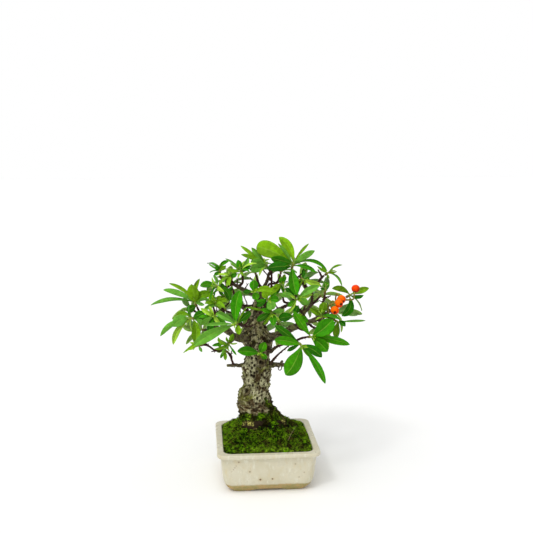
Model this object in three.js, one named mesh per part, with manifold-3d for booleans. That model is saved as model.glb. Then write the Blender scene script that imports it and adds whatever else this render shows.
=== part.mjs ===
// Narrowleaf firethorn bonsai in its square glazed pot.
// Millimetres, +Z up. The viewer stands on the -Y side. The origin is on the surface that the
// pot stands on, under the middle of the whole tree.

import * as THREE from 'three';
import { mergeVertices } from 'three/addons/utils/BufferGeometryUtils.js';
import Module from 'manifold-3d';

const wasm = await Module();
wasm.setup();

// Pot, square with round corners. A profile point is [half width, height].
const POT_HEIGHT = 32.7;
const POT_CORNER_RADIUS = 7;
const POT_CORNER_STEPS = 4;
const POT_OUTSIDE = [
  [29.4, 0], [31.9, 2.4], [34.0, 5.6], [35.4, 10], [36.5, 20], [37.3, 29.0],
  [39.5, 29.5], [40.0, 30.3], [40.0, 31.9], [39.3, POT_HEIGHT],
];
const POT_INSIDE = [[35.3, POT_HEIGHT], [34.6, 32.0], [34.1, 28], [32.6, 10], [31.2, 6.4], [29.4, 4.8]];
const FOOT_CHANNEL_WIDTH = 31;
const FOOT_CHANNEL_HEIGHT = 2;
const DRAIN_RADIUS = 5;

// Soil and moss
const GAP = 0.35;
const SOIL_BOTTOM = 5.2;
const SOIL_EDGE = 27.4;
const MOSS_EDGE = 32.0;
const MOSS_CONTACT = 44.5;
const ROOT_CONTACT_DROP = 4.5;
const MOSS_THICKNESS = 4.2;
const HOLE_FLOOR = 16;
const CARPET_SECTORS = 32;
const CARPET_RINGS = 5;
const MOSS_RELIEF = 1.1;
const ROOT_CONTACT_SPREAD = 0.5;
const HOLE_CLEARANCE = 0.6;
const FOOT_BEVEL = 4;

// Trunk. Each level is [height, middle in x, half width].
const TRUNK_Y = 6;
const TRUNK_SIDES = 18;
const TRUNK_LEVELS = [
  [40, -3.0, 15.4], [43, -3.5, 15.2], [46, -4.2, 14.8], [50, -5.4, 14.3], [55, -6.6, 13.6],
  [60, -8.2, 13.2], [65, -9.5, 12.8], [71, -8.6, 11.8], [75, -6.9, 10.4], [80, -6.8, 11.0],
  [84, -6.5, 10.2], [90, -7.2, 11.3], [97, -5.5, 9.5], [103, -5.4, 10.1], [108, -5.8, 11.4],
  [114, -6.4, 11.8], [120, -7.6, 9.2], [127, -7.8, 6.6], [135, -6.8, 4.5], [144, -5.2, 3.0],
];
const KNOB_HEIGHT = 0.75;
const KNOB_FULL_HALF = 12;
// Waves that make the knobs: [lumps round the trunk, twist per millimetre of height, start, share]
const KNOB_WAVES = [[3, 0.31, 0, 0.6], [2, -0.22, 1.7, 0.6], [5, -0.47, 0.6, 0.4], [7, 0.63, 0, 0.4]];
// Surface roots: [direction in degrees, reach past the foot, angular width in degrees]
const ROOTS = [[-3, 12.5, 30], [118, 3.0, 30], [196, 3.4, 34], [252, 4.0, 30], [305, 3.6, 28]];
const ROOT_FLARE_TOP = 66;

// Where the photograph was taken from: a place named by x, z and depth lies on the line of sight
// through (x, 0, z), and depth millimetres nearer the viewer than the plane through the pot's middle.
const VIEWPOINT = new THREE.Vector3(-50.4, -603.1, 264.2);

function place(x, z, depth) {
  const share = 1 - depth / -VIEWPOINT.y;
  return new THREE.Vector3(x, 0, z).sub(VIEWPOINT).multiplyScalar(share).add(VIEWPOINT);
}

// Limbs: points are [x, z, depth, radius], from the trunk outwards.
const LIMBS = [
  [[-5.2, 142, -6, 3.0], [-8.5, 149, -4, 2.3], [-18, 154, 0, 1.9], [-27, 159, 4, 1.4], [-34, 163, -4, 0.9]],
  [[-5, 141, -6, 2.6], [-3.5, 151, -5, 1.9], [1, 160, -1, 1.6], [4, 168, 1, 1.3], [14, 170.5, 5, 1.0]],
  [[-2, 114, -5, 5.0], [8, 116, 0, 3.8], [16.5, 119.8, 6, 2.9], [25, 124, 10, 2.5], [36, 127.5, 12, 2.0],
    [47, 132.5, 11, 1.6], [56, 138.5, 6, 1.3], [63.5, 145, 2, 0.9]],
  [[25, 124, 9, 2.2], [30, 133.5, 7, 1.9], [36.5, 141, 2, 1.6], [37.2, 150.5, 0, 1.3], [39.5, 156, -2, 1.1],
    [45.5, 163, -3, 0.9]],
  [[8, 115.5, 2, 2.4], [17, 113, 16, 1.5], [25, 110.5, 30, 1.1]],
  [[-9, 115, -3, 5.0], [-17, 114.3, 0, 4.0], [-24, 115.5, 4, 3.2], [-29, 121, 7, 2.4], [-37, 127.5, 8, 1.8],
    [-48, 130.5, 8, 1.2]],
  [[-30, 121.5, 6, 1.9], [-34, 128.5, 4, 1.5], [-33, 135.5, 4, 1.3], [-34.5, 141, 6, 0.9]],
  [[-9, 122, -4, 3.0], [-15, 124, 8, 1.9], [-19, 125, 20, 1.4]],
  [[-7, 126, -8, 3.2], [-13, 135, -22, 2.0], [-22, 142, -36, 1.3]],
  [[-4, 124, -8, 3.4], [7, 135, -22, 2.2], [20, 142, -36, 1.4]],
  [[-5, 134, -8, 2.6], [-2, 148, -19, 1.7], [3, 158, -28, 1.1]],
  [[2, 114, -8, 3.8], [15, 118, -22, 2.4], [34, 126, -34, 1.4]],
  [[-12, 113, -8, 3.8], [-25, 117, -22, 2.4], [-42, 126, -32, 1.4]],
  [[-7, 131, -4, 2.5], [-4, 136, 8, 1.7], [1, 140, 18, 1.2]],
];

const LIMB_SIDES = 5;
const BARE_TWIG_SIDES = 4;
const LEAF_TWIG_SIDES = 3;

// Bare twigs and stubs that show by themselves, written as the limbs are.
const BARE_TWIGS = [
  [[-14, 92, -6, 2.2], [-22, 92.6, 0, 1.4], [-30.5, 92.5, 4, 1.1]],
  [[-25.5, 92.5, 2, 0.9], [-28, 99.5, 4, 0.7], [-29.3, 101.3, 4, 0.6]],
  [[-28, 99.5, 4, 0.7], [-27, 104.5, 4, 0.6]],
  [[2, 92.2, -5, 2.6], [11, 92.2, 2, 1.7], [20, 91.4, 6, 1.3]],
  [[11.5, 92, 2, 1.1], [13.6, 95.6, 2, 0.9]],
  [[3, 92.5, -3, 1.3], [10, 100.5, 8, 0.75], [19, 108, 20, 0.7]],
  [[4, 103, -3, 1.6], [9, 107, 5, 1.0], [15.5, 108.8, 14, 0.8]],
  [[-24, 115, 4, 1.2], [-29, 110.5, 7, 0.9], [-34.5, 105.3, 8, 0.8], [-40, 105, 9, 0.75],
    [-44.5, 108.3, 9, 0.7], [-47.2, 109.2, 10, 0.65]],
  [[-38, 105, 9, 0.75], [-43.2, 104.2, 10, 0.6]],
  [[4.6, 153, -2, 0.9], [4.8, 161, 0, 0.8], [4.9, 168.5, 1, 1.0]],
  [[4.6, 154, -2, 0.75], [8.6, 156.6, 2, 0.6]],
  [[-1.5, 153.5, -4, 1.1], [4.6, 153.3, -2, 0.9]],
  [[45, 162.5, -3, 1.0], [41.5, 169, -4, 0.7]],
  [[37, 149, 0, 1.1], [31, 157, 2, 0.8], [24.5, 161, 4, 0.8], [32, 168.5, 4, 0.7]],
  [[25, 160, 4, 0.7], [26, 157, 5, 0.7], [34, 160, 6, 0.8]],
  [[47.5, 131.8, 12, 1.1], [46, 143, 8, 0.75], [47.1, 148.0, 6, 0.7]],
  [[46.5, 145.8, 7, 0.7], [52, 147.6, 6, 0.6]],
];

// Berries. at is the middle as x, z, depth, calyx the way its crown points as right, up, to the
// viewer, and stalk the twig points [x, z, depth] that the stalk comes from.
const BERRIES = [
  { name: 'berry_red', at: [72.0, 153.1, 15], radius: 3.3, calyx: [0.3, 0.8, -0.5],
    stalk: [[62.5, 144.2, 3], [70, 144.5, 11]] },
  { name: 'berry_orange_upper', at: [60.6, 144.6, 12], radius: 3.5, calyx: [0.5, -0.7, 0.1],
    stalk: [[57, 139.5, 5.5], [56, 146, 7]] },
  { name: 'berry_orange_middle', at: [58.6, 141.4, 18.8], radius: 3.4, calyx: [0.85, -0.27, 0.45],
    stalk: [[53.5, 136.5, 7.5], [52, 140.5, 14]] },
  { name: 'berry_orange_lower', at: [55.5, 135.9, 22.6], radius: 3.3, calyx: [-0.1, -0.85, 0.5],
    stalk: [[50, 133.7, 10], [51, 140, 17]] },
];
const STALK_RADIUS = 0.6;
const BERRY_LENGTH = 0.94;
const BERRY_DIMPLE = 0.78;

// Leafy shoots. at is the shoot's place as x, z, depth, aim its direction as right, up, to the viewer.
// A leaf is [tip x, tip z, depth, width, turn in degrees about its own length, bow to its left].
// more is how many small leaves grow round the shoot besides, and size makes those larger.
const SHOOTS = [
  { name: 'shoot_far_left', at: [-55, 143, 1], aim: [-0.35, 0.9, 0.1], more: 1, leaves: [
    [-90, 142.5, -2, 4.2, 35, -2.5], [-80, 154.5, 0, 5, 15, -1.5], [-75.5, 159.5, -4, 3.4, 30, -2],
    [-58, 158.7, 5, 9.5, 0, 0], [-51.5, 163, -7, 4, 20, 3], [-41.5, 150.5, 6, 7, 5, 4],
    [-42.5, 146, 10, 2.6, 20, 3], [-62.3, 137.2, 5, 6.2, 0, 0], [-48, 142, 8, 3, 10, 0]] },
  { name: 'shoot_left_low', at: [-58, 131.5, 10], aim: [-0.9, 0.1, 0.3], more: 1, leaves: [
    [-73, 125, 15, 8.8, 5, -2], [-83, 117.5, 8, 4.6, 20, -3], [-73, 110.5, 13, 4.8, 10, -3],
    [-70.5, 133.6, 3, 3.8, 20, -2.5], [-48.3, 136.3, 13, 6.2, 0, 0], [-56, 110.8, 16, 7.4, 5, 2],
    [-46, 127, 16, 4, 20, 0]] },
  { name: 'shoot_left_front', at: [-23, 126, 36], aim: [-0.3, 0.2, 0.9], more: 0, leaves: [
    [-20.3, 153, 34, 8.8, 0, 1.6], [-57, 109.5, 32, 8, 5, -1.5], [-65.5, 103.5, 24, 3, 20, -1],
    [-48, 125.7, 40, 3.2, 30, 0], [-39, 135.5, 32, 5.2, 5, -0.5], [-11.5, 135.7, 28, 5.2, 5, 0.5],
    [-15, 139.5, 32, 1.6, 10, 0.5], [-21, 117.5, 40, 5, 0, 0]] },
  { name: 'shoot_on_trunk', at: [-4.6, 102, 14], aim: [0, 0.1, 1], more: 0, leaves: [
    [-22.5, 104, 18, 7.6, 0, -0.8], [-0.3, 111, 17, 6.6, 0, 0], [1.2, 97.4, 17, 4.2, 0, 0]] },
  { name: 'shoot_right_front', at: [28, 108.5, 42], aim: [0.3, -0.1, 1], more: 0, leaves: [
    [7, 112.7, 44, 7.2, 0, -1], [16.5, 82.5, 46, 12.5, 0, 2], [45.5, 97.5, 46, 6.8, 0, 1.5],
    [48.5, 75.5, 42, 5.8, 15, 2.5], [7.5, 124.5, 36, 5.6, 10, 0], [17.3, 103.3, 38, 3.2, 0, 0],
    [34.5, 98.5, 40, 1.6, 0, 0]] },
  { name: 'shoot_right_mid', at: [35.5, 114.5, 32], aim: [0.5, 0.2, 0.8], more: 0, leaves: [
    [54, 128.5, 34, 12.5, 0, -1], [22.3, 135.5, 30, 6.2, 0, 0], [50, 102, 36, 9, 0, 1],
    [68, 107.5, 32, 6.2, 10, 1.5]] },
  { name: 'shoot_berry', at: [66.5, 147.5, 4], aim: [0.8, 0.5, 0.1], more: 1, leaves: [
    [83, 153.5, 8, 5.2, 5, 0.5], [53, 153.5, 4, 4.8, 0, -2.2], [78.5, 147.7, 11, 3.6, 20, -1],
    [61, 131.2, 5, 6.4, 0, 4.2], [51, 146, -5, 6, 10, 0]] },
  { name: 'shoot_right_low', at: [57, 127, 16], aim: [0.7, -0.3, 0.4], more: 1, leaves: [
    [80.5, 127, 18, 2.4, 30, 0.8], [64, 122.5, 22, 4.2, 0, 1], [56, 113.3, 22, 5, 0, 0],
    [49, 121, 20, 4, 10, 0]] },
  { name: 'shoot_right_olive', at: [45, 130.5, 22], aim: [-0.1, 0.8, 0.5], more: 2, leaves: [
    [46.6, 142.8, 22, 6.6, 0, 0], [35.5, 138, 22, 4.4, 0, 0]] },
  { name: 'shoot_right_top', at: [49, 165.8, -3], aim: [0.8, 0.55, 0], more: 0, leaves: [
    [61, 172.4, -2, 2, 20, 2], [56, 166.6, 3, 1.8, 10, 0], [61, 155, 3, 2.2, 20, 3.2],
    [41, 171.6, 1, 2.2, 10, 0.5], [44.5, 170.6, -8, 1.8, 10, -0.5], [50.7, 161.6, 1, 2, 0, 0]] },
  { name: 'shoot_top', at: [21.5, 172.6, 9], aim: [0.2, 0.95, 0.2], more: 1, leaves: [
    [10.5, 195.3, 5, 8.8, 0, -3], [9.8, 190, 10, 3.6, 30, 0], [34.2, 189.7, 3, 2.6, 30, 1.5],
    [39, 184, 13, 5.4, 5, 1], [49, 167.5, 5, 3, 15, 6.6], [40, 166.8, 15, 3.6, 15, 2.5],
    [24.8, 148.6, 20, 8.4, 0, -1], [1, 170.4, 23, 7.6, 0, -1], [4, 178.6, 15, 7, 0, 0],
    [-7, 185.6, 1, 11.5, 0, -5]] },
  { name: 'shoot_top_left', at: [1.5, 171.5, 2], aim: [-0.5, 0.75, 0.3], more: 2, leaves: [
    [-11.7, 176.5, 8, 7.4, 0, 0], [-12.5, 169.3, 10, 6.4, 0, 0], [-11, 187, -4, 4.4, 0, 0],
    [-19.6, 188.6, -8, 3.2, 10, 0], [-19.2, 181.6, -2, 3.8, 15, -1.4]] },
  { name: 'shoot_left_top', at: [-36, 168.3, -8], aim: [-0.1, 1, 0], more: 1, leaves: [
    [-28.5, 176.6, -8, 3.2, 5, 2], [-39.3, 173, -5, 4.2, 0, 0], [-31, 173, -3, 3.4, 0, 0],
    [-44.5, 174.5, -11, 1.6, 10, 0], [-40.5, 165.4, -2, 3, 10, 0]] },
  { name: 'shoot_left_arch', at: [-37.5, 156.5, 13], aim: [-0.8, 0.3, 0.5], more: 1, leaves: [
    [-28.3, 144.5, 16, 5.4, 5, 3.4], [-51.3, 157, 12, 5.4, 5, -1.6], [-41, 165.4, 4, 2.8, 20, -1],
    [-33.5, 149, 8, 3, 10, 0]] },
  { name: 'shoot_left_lime', at: [-38.5, 142.3, 14], aim: [-0.4, 0.7, 0.5], more: 1, leaves: [
    [-30, 145.2, 18, 3.6, 0, 1], [-35.5, 149.2, 12, 4.2, 0, 0], [-48, 143.2, 16, 2.8, 15, -0.8],
    [-48.3, 138.8, 12, 3.6, 5, 0], [-44.5, 151, 9, 4.8, 0, 0]] },
  { name: 'shoot_left_inner', at: [-40.5, 133, 20], aim: [-0.3, 0.3, 0.9], more: 3, leaves: [
    [-52, 126, 23, 4, 5, 0], [-31.5, 127.5, 24, 3.6, 5, 0], [-45.5, 119.5, 22, 5, 0, 0]] },
  { name: 'shoot_low_left', at: [-29, 111, 15], aim: [-0.3, -0.5, 0.8], more: 1, leaves: [
    [-34.6, 101.3, 16, 2.6, 5, -0.5], [-23.2, 100.8, 14, 1.8, 10, 0], [-38.3, 113.8, 18, 3.4, 5, 1],
    [-25.5, 118.3, 18, 3.8, 0, 0], [-42.5, 109, 12, 3, 10, 0]] },
  { name: 'shoot_low_tip', at: [-52, 109.4, 10.5], aim: [-0.95, -0.1, 0.2], more: 0, leaves: [
    [-60, 105.8, 11, 2.4, 10, -0.5], [-50.5, 104, 15, 2.4, 0, 0], [-60, 112, 12, 2.2, 10, 0]] },
  { name: 'shoot_stub_twig', at: [-31.8, 104.6, 4], aim: [-0.7, 0.6, 0.2], more: 0, leaves: [
    [-38.8, 103.8, 5, 2.8, 0, 0], [-36, 98.6, 6, 2.4, 0, 0], [-32, 96.8, 7, 3, 0, 0]] },
  { name: 'shoot_upper_left', at: [-19, 167.6, 8], aim: [-0.3, 0.9, 0.3], more: 3, leaves: [
    [-13.6, 179, 3, 3.6, 0, -1], [-21.7, 177.4, 8, 4.8, 0, 0], [-31.6, 178.6, 0, 1.8, 15, -1],
    [-30, 169.7, 8, 3, 5, 0], [-11.5, 173, 12, 3.2, 0, 0]] },
  { name: 'shoot_upper_left_low', at: [-27.5, 163.3, 6], aim: [-0.3, 0.8, 0.5], more: 3, leaves: [
    [-34.5, 161.5, 10, 3.6, 5, 0], [-22, 166.5, 12, 3.8, 5, 0]] },
  { name: 'shoot_left_fork', at: [-31, 151.5, 4], aim: [-0.1, -0.8, 0.6], more: 3, leaves: [
    [-26, 156.5, 12, 3.2, 0, 0], [-35, 159.5, 14, 4, 0, 0]] },
  { name: 'shoot_red_stalk', at: [-9.5, 151.8, 24], aim: [0, 0.2, 1], more: 0, leaves: [
    [-9.2, 161.3, 25, 7, 0, 0], [6, 151.8, 27, 5.2, 0, 2], [-6.4, 145.4, 27, 6, 0, 0],
    [-17.5, 151.5, 22, 3.4, 0, -0.5]] },
  { name: 'shoot_centre', at: [1.5, 145.5, 26], aim: [0.2, 0.1, 1], more: 0, leaves: [
    [6.6, 137.6, 29, 7.5, 0, 0], [10.5, 145, 27, 5.6, 0, 0.5], [-2, 152.5, 30, 5, 0, 0],
    [-7, 140.5, 22, 4.4, 0, 0]] },
  { name: 'shoot_centre_low', at: [4.5, 135.5, 22], aim: [0, -0.3, 1], more: 0, leaves: [
    [-3.2, 138.3, 24, 3.4, 0, 0], [14.5, 136.2, 24, 4, 0, 0.5], [6, 124.3, 28, 5.4, 0, 0.8],
    [-7, 128.4, 22, 5, 0, 0], [-16, 139.7, 18, 1.8, 0, 0]] },
  { name: 'shoot_centre_right', at: [22.5, 131.5, 20], aim: [0.1, 0, 1], more: 1, leaves: [
    [10.3, 129.6, 23, 7, 0, -0.8], [34, 126.5, 22, 4.8, 0, 1], [26, 140.5, 22, 4.6, 0, 0]] },
  { name: 'shoot_right_grey', at: [24.5, 145, 16], aim: [0.3, 0.3, 0.9], more: 1, leaves: [
    [34, 141.2, 20, 5.8, 0, 0.6], [11, 148.6, 18, 4.4, 0, -1.8], [43, 155.8, 16, 5.8, 0, 1.2],
    [17.5, 139.5, 20, 4, 0, 0], [16, 155, 10, 4, 0, 0]] },
  { name: 'shoot_oval', at: [47.5, 151.6, 6], aim: [0.1, 1, 0], more: 0, leaves: [
    [48.6, 159, 6, 4.8, 0, 0], [43.6, 153.8, 8, 1.8, 0, 0]] },
  { name: 'shoot_twig_end', at: [29.2, 161.5, 10], aim: [0.3, -0.2, 1], more: 1, leaves: [
    [35, 161, 9, 3.2, 0, 0.6], [30, 170, 9, 2.8, 0, 0], [21, 158, 10, 3.6, 0, 0]] },
  { name: 'shoot_twig_low', at: [11.5, 157.5, 8], aim: [0.3, 0.4, 0.9], more: 1, leaves: [
    [12.6, 162.6, 9, 3.6, 0, 0], [8.6, 149.6, 12, 3.4, 0, 0], [16.5, 163.5, 10, 3, 0, 0]] },
  // The side away from the viewer
  { name: 'shoot_back_a', at: [-58, 139, -20], aim: [-0.7, 0.4, -0.6], more: 6, size: 1.4, leaves: [] },
  { name: 'shoot_back_b', at: [-44, 148, -30], aim: [-0.4, 0.7, -0.6], more: 7, size: 1.4, leaves: [] },
  { name: 'shoot_back_c', at: [-27, 158, -30], aim: [-0.2, 0.8, -0.5], more: 6, size: 1.4, leaves: [] },
  { name: 'shoot_back_d', at: [-8, 168, -26], aim: [-0.1, 0.9, -0.4], more: 7, size: 1.4, leaves: [] },
  { name: 'shoot_back_e', at: [12, 168, -24], aim: [0.1, 0.9, -0.4], more: 6, size: 1.4, leaves: [] },
  { name: 'shoot_back_f', at: [28, 158, -32], aim: [0.3, 0.7, -0.6], more: 7, size: 1.4, leaves: [] },
  { name: 'shoot_back_g', at: [44, 148, -26], aim: [0.6, 0.5, -0.5], more: 6, size: 1.4, leaves: [] },
  { name: 'shoot_back_h', at: [56, 134, -22], aim: [0.8, 0.2, -0.6], more: 7, size: 1.4, leaves: [] },
  { name: 'shoot_back_i', at: [-50, 122, -36], aim: [-0.7, -0.1, -0.7], more: 7, size: 1.4, leaves: [] },
  { name: 'shoot_back_j', at: [-32, 138, -50], aim: [-0.4, 0.3, -0.9], more: 7, size: 1.4, leaves: [] },
  { name: 'shoot_back_k', at: [-8, 148, -54], aim: [-0.1, 0.4, -0.9], more: 6, size: 1.4, leaves: [] },
  { name: 'shoot_back_l', at: [14, 150, -52], aim: [0.2, 0.5, -0.8], more: 6, size: 1.4, leaves: [] },
  { name: 'shoot_back_m', at: [32, 140, -50], aim: [0.5, 0.3, -0.8], more: 6, size: 1.4, leaves: [] },
  { name: 'shoot_back_n', at: [44, 122, -36], aim: [0.7, 0, -0.7], more: 6, size: 1.4, leaves: [] },
  { name: 'shoot_back_o', at: [-18, 124, -46], aim: [-0.3, 0, -1], more: 7, size: 1.4, leaves: [] },
  { name: 'shoot_back_p', at: [10, 126, -48], aim: [0.2, 0.1, -1], more: 7, size: 1.4, leaves: [] },
  { name: 'shoot_back_q', at: [-2, 134, -28], aim: [-0.1, 0.6, -0.7], more: 5, size: 1.2, leaves: [] },
];

// Leaf blades
const BLADE_THICKNESS = 0.85;
const BLADE_FOLD = 0.16;
const PETIOLE_HALF_WIDTH = 0.55;
const LONG_BLADE = [[0.13, 0.2], [0.36, 0.8], [0.64, 1.0], [0.87, 0.62]];
const SHORT_BLADE = [[0.16, 0.26], [0.52, 1.0], [0.83, 0.7]];
const SMALL_BLADE = [[0.3, 0.85], [0.68, 0.95]];
const LONG_BLADE_FROM = 21;
const SMALL_LEAF_LENGTH = [11, 17];
const SMALL_LEAF_SLENDERNESS = 0.27;
const SHOOT_RADIUS = 1.15;
const SHOOT_BEHIND = 2.6;
const SHOOT_AHEAD = 3.2;
const LEAF_CLEARANCE = 2.1;
const TRIES = 9;
const TWIG_END = 4.5;
const RANDOM_SEED = 20;

// One repeatable stream of numbers from 0 to 1
function makeRandom(seed) {
  let state = seed;
  return function next() {
    state = (state * 16807) % 2147483647;
    return (state - 1) / 2147483646;
  };
}

// Solids from rings of points

function solidFromRings(rings) {
  const count = rings[0].length;
  const vertices = [];
  const triangles = [];
  rings.forEach((ring) => ring.forEach((point) => vertices.push(point.x, point.y, point.z)));
  for (let level = 0; level < rings.length - 1; level += 1) {
    for (let side = 0; side < count; side += 1) {
      const a = level * count + side;
      const b = level * count + (side + 1) % count;
      triangles.push(a, b, b + count);
      triangles.push(a, b + count, a + count);
    }
  }
  closeWithFan(rings[0], 0, true, vertices, triangles);
  closeWithFan(rings[rings.length - 1], (rings.length - 1) * count, false, vertices, triangles);
  const geometry = new THREE.BufferGeometry();
  geometry.setAttribute('position', new THREE.Float32BufferAttribute(vertices, 3));
  geometry.setIndex(triangles);
  return geometry;
}

// A small end is closed from its first point, a wider one from a point in its middle.
function closeWithFan(ring, first, facesBack, vertices, triangles) {
  if (ring.length <= 6) {
    for (let side = 1; side < ring.length - 1; side += 1) {
      const corners = [first, first + side, first + side + 1];
      triangles.push(...(facesBack ? corners.reverse() : corners));
    }
    return;
  }
  const middle = new THREE.Vector3();
  ring.forEach((point) => middle.add(point));
  middle.divideScalar(ring.length);
  const hub = vertices.length / 3;
  vertices.push(middle.x, middle.y, middle.z);
  for (let side = 0; side < ring.length; side += 1) {
    const a = first + side;
    const b = first + (side + 1) % ring.length;
    if (facesBack) triangles.push(hub, b, a);
    else triangles.push(hub, a, b);
  }
}

function toManifold(geometry) {
  const bare = geometry.clone();
  bare.deleteAttribute('normal');
  bare.deleteAttribute('uv');
  const merged = mergeVertices(bare, 1e-4);
  return new wasm.Manifold(new wasm.Mesh({
    numProp: 3,
    vertProperties: new Float32Array(merged.attributes.position.array),
    triVerts: new Uint32Array(merged.index.array),
  }));
}

function toGeometry(solid) {
  const mesh = solid.getMesh();
  const geometry = new THREE.BufferGeometry();
  geometry.setAttribute('position', new THREE.BufferAttribute(new Float32Array(mesh.vertProperties), 3));
  geometry.setIndex(Array.from(mesh.triVerts));
  return geometry;
}

// The main body alone: sealed hollows and loose scraps are dropped.
function mainBody(solid) {
  const bodies = solid.decompose();
  return bodies.reduce((best, body) => (body.volume() > best.volume() ? body : best));
}

function joinAll(geometries) {
  const solids = geometries.map(toManifold);
  return toGeometry(mainBody(solids.reduce((whole, solid) => whole.add(solid))));
}

function makeMesh(name, geometry, color, roughness) {
  const faceted = geometry.toNonIndexed();
  faceted.computeVertexNormals();
  const mesh = new THREE.Mesh(faceted, new THREE.MeshStandardMaterial({ color, roughness, metalness: 0 }));
  mesh.name = name;
  return mesh;
}

// Pot

function squareRing(half, z) {
  const points = [];
  const inner = half - POT_CORNER_RADIUS;
  for (let corner = 0; corner < 4; corner += 1) {
    const start = corner * Math.PI / 2;
    const middleX = inner * Math.SQRT2 * Math.cos(start + Math.PI / 4);
    const middleY = inner * Math.SQRT2 * Math.sin(start + Math.PI / 4);
    for (let step = 0; step <= POT_CORNER_STEPS; step += 1) {
      const angle = start + step / POT_CORNER_STEPS * Math.PI / 2;
      points.push(new THREE.Vector3(
        middleX + POT_CORNER_RADIUS * Math.cos(angle),
        middleY + POT_CORNER_RADIUS * Math.sin(angle),
        z,
      ));
    }
  }
  return points;
}

function makePot() {
  const profile = POT_OUTSIDE.concat(POT_INSIDE);
  let pot = toManifold(solidFromRings(profile.map(([half, z]) => squareRing(half, z))));
  const drain = new THREE.CylinderGeometry(DRAIN_RADIUS, DRAIN_RADIUS, 20, 14).rotateX(Math.PI / 2);
  pot = pot.subtract(toManifold(drain));
  const half = FOOT_CHANNEL_WIDTH / 2;
  const outline = new THREE.Shape([
    new THREE.Vector2(-half, -1),
    new THREE.Vector2(half, -1),
    new THREE.Vector2(half - FOOT_BEVEL / 2, 0.6),
    new THREE.Vector2(half - FOOT_BEVEL * 1.6, FOOT_CHANNEL_HEIGHT),
    new THREE.Vector2(-half + FOOT_BEVEL * 1.6, FOOT_CHANNEL_HEIGHT),
    new THREE.Vector2(-half + FOOT_BEVEL / 2, 0.6),
  ]);
  const channel = new THREE.ExtrudeGeometry(outline, { depth: 90, bevelEnabled: false });
  const alongY = channel.clone().rotateX(Math.PI / 2).translate(0, 45, 0);
  const alongX = alongY.clone().rotateZ(Math.PI / 2);
  pot = pot.subtract(toManifold(alongY)).subtract(toManifold(alongX));
  return toGeometry(mainBody(pot));
}

// Trunk outline

function trunkAt(z) {
  const first = TRUNK_LEVELS[0];
  if (z <= first[0]) return { x: first[1], half: first[2] };
  for (let i = 1; i < TRUNK_LEVELS.length; i += 1) {
    const [z0, x0, h0] = TRUNK_LEVELS[i - 1];
    const [z1, x1, h1] = TRUNK_LEVELS[i];
    if (z <= z1) {
      const t = (z - z0) / (z1 - z0);
      return { x: x0 + (x1 - x0) * t, half: h0 + (h1 - h0) * t };
    }
  }
  const last = TRUNK_LEVELS[TRUNK_LEVELS.length - 1];
  return { x: last[1], half: last[2] };
}

function rootReach(angle, z) {
  const base = TRUNK_LEVELS[0][0];
  const up = THREE.MathUtils.clamp((z - base) / (ROOT_FLARE_TOP - base), 0, 1);
  const fade = (1 - up) ** 2.6;
  let reach = 0;
  ROOTS.forEach(([direction, length, width]) => {
    let off = angle * 180 / Math.PI - direction;
    off -= 360 * Math.round(off / 360);
    reach += length * Math.exp(-((off / width) ** 2)) * fade;
  });
  return reach;
}

function knobs(angle, z) {
  let sum = 0;
  KNOB_WAVES.forEach(([lumps, twist, start, share]) => {
    sum += share * Math.sin(lumps * angle + twist * z + start);
  });
  return KNOB_HEIGHT * sum;
}

// The knobs begin above the soil and grow weaker where the trunk is thin.
function trunkRing(z) {
  const { x, half } = trunkAt(z);
  const ring = [];
  const knobFade = Math.min(1, half / KNOB_FULL_HALF) * THREE.MathUtils.clamp((z - 40) / 10, 0, 1);
  for (let side = 0; side < TRUNK_SIDES; side += 1) {
    const angle = side / TRUNK_SIDES * 2 * Math.PI;
    const radius = half + rootReach(angle, z) + knobs(angle, z) * knobFade;
    ring.push(new THREE.Vector3(x + radius * Math.cos(angle), TRUNK_Y + radius * Math.sin(angle), z));
  }
  return ring;
}

function makeTrunk() {
  const levels = [HOLE_FLOOR + GAP, ...TRUNK_LEVELS.map((level) => level[0])];
  return solidFromRings(levels.map(trunkRing));
}

// Soil and moss: rings from the trunk's hole out to the pot's wall

function potInnerHalf(z) {
  const inside = [...POT_INSIDE].reverse();
  for (let i = 1; i < inside.length; i += 1) {
    const [h0, z0] = inside[i - 1];
    const [h1, z1] = inside[i];
    if (z <= z1) return h0 + (h1 - h0) * Math.max(0, (z - z0) / (z1 - z0));
  }
  return inside[inside.length - 1][0];
}

// Distance from the pot's axis to a rounded square, along a direction
function squareReach(half, angle) {
  const inner = half - POT_CORNER_RADIUS;
  const c = Math.abs(Math.cos(angle));
  const s = Math.abs(Math.sin(angle));
  const straight = half / Math.max(c, s);
  if (straight * Math.min(c, s) <= inner) return straight;
  const along = inner * (c + s);
  const rest = 2 * inner * inner - POT_CORNER_RADIUS ** 2;
  return along + Math.sqrt(Math.max(0, along * along - rest));
}

function carpetRing(share, height, wallHeight) {
  const ring = [];
  const { x, half } = trunkAt(0);
  for (let sector = 0; sector < CARPET_SECTORS; sector += 1) {
    const angle = sector / CARPET_SECTORS * 2 * Math.PI;
    const holeRadius = half + rootReach(angle, 0) + HOLE_CLEARANCE;
    const holeX = x + holeRadius * Math.cos(angle);
    const holeY = TRUNK_Y + holeRadius * Math.sin(angle);
    const reach = squareReach(potInnerHalf(wallHeight) - GAP, angle);
    const px = holeX + (reach * Math.cos(angle) - holeX) * share;
    const py = holeY + (reach * Math.sin(angle) - holeY) * share;
    ring.push(new THREE.Vector3(px, py, height(px, py, angle, share)));
  }
  return ring;
}

function moundHeight(angle, share) {
  const contact = MOSS_CONTACT - ROOT_CONTACT_DROP * Math.exp(-((wrap(angle) / ROOT_CONTACT_SPREAD) ** 2));
  return MOSS_EDGE + (contact - MOSS_EDGE) * (1 - share) ** 1.25;
}

function wrap(angle) {
  return angle > Math.PI ? angle - 2 * Math.PI : angle;
}

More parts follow.
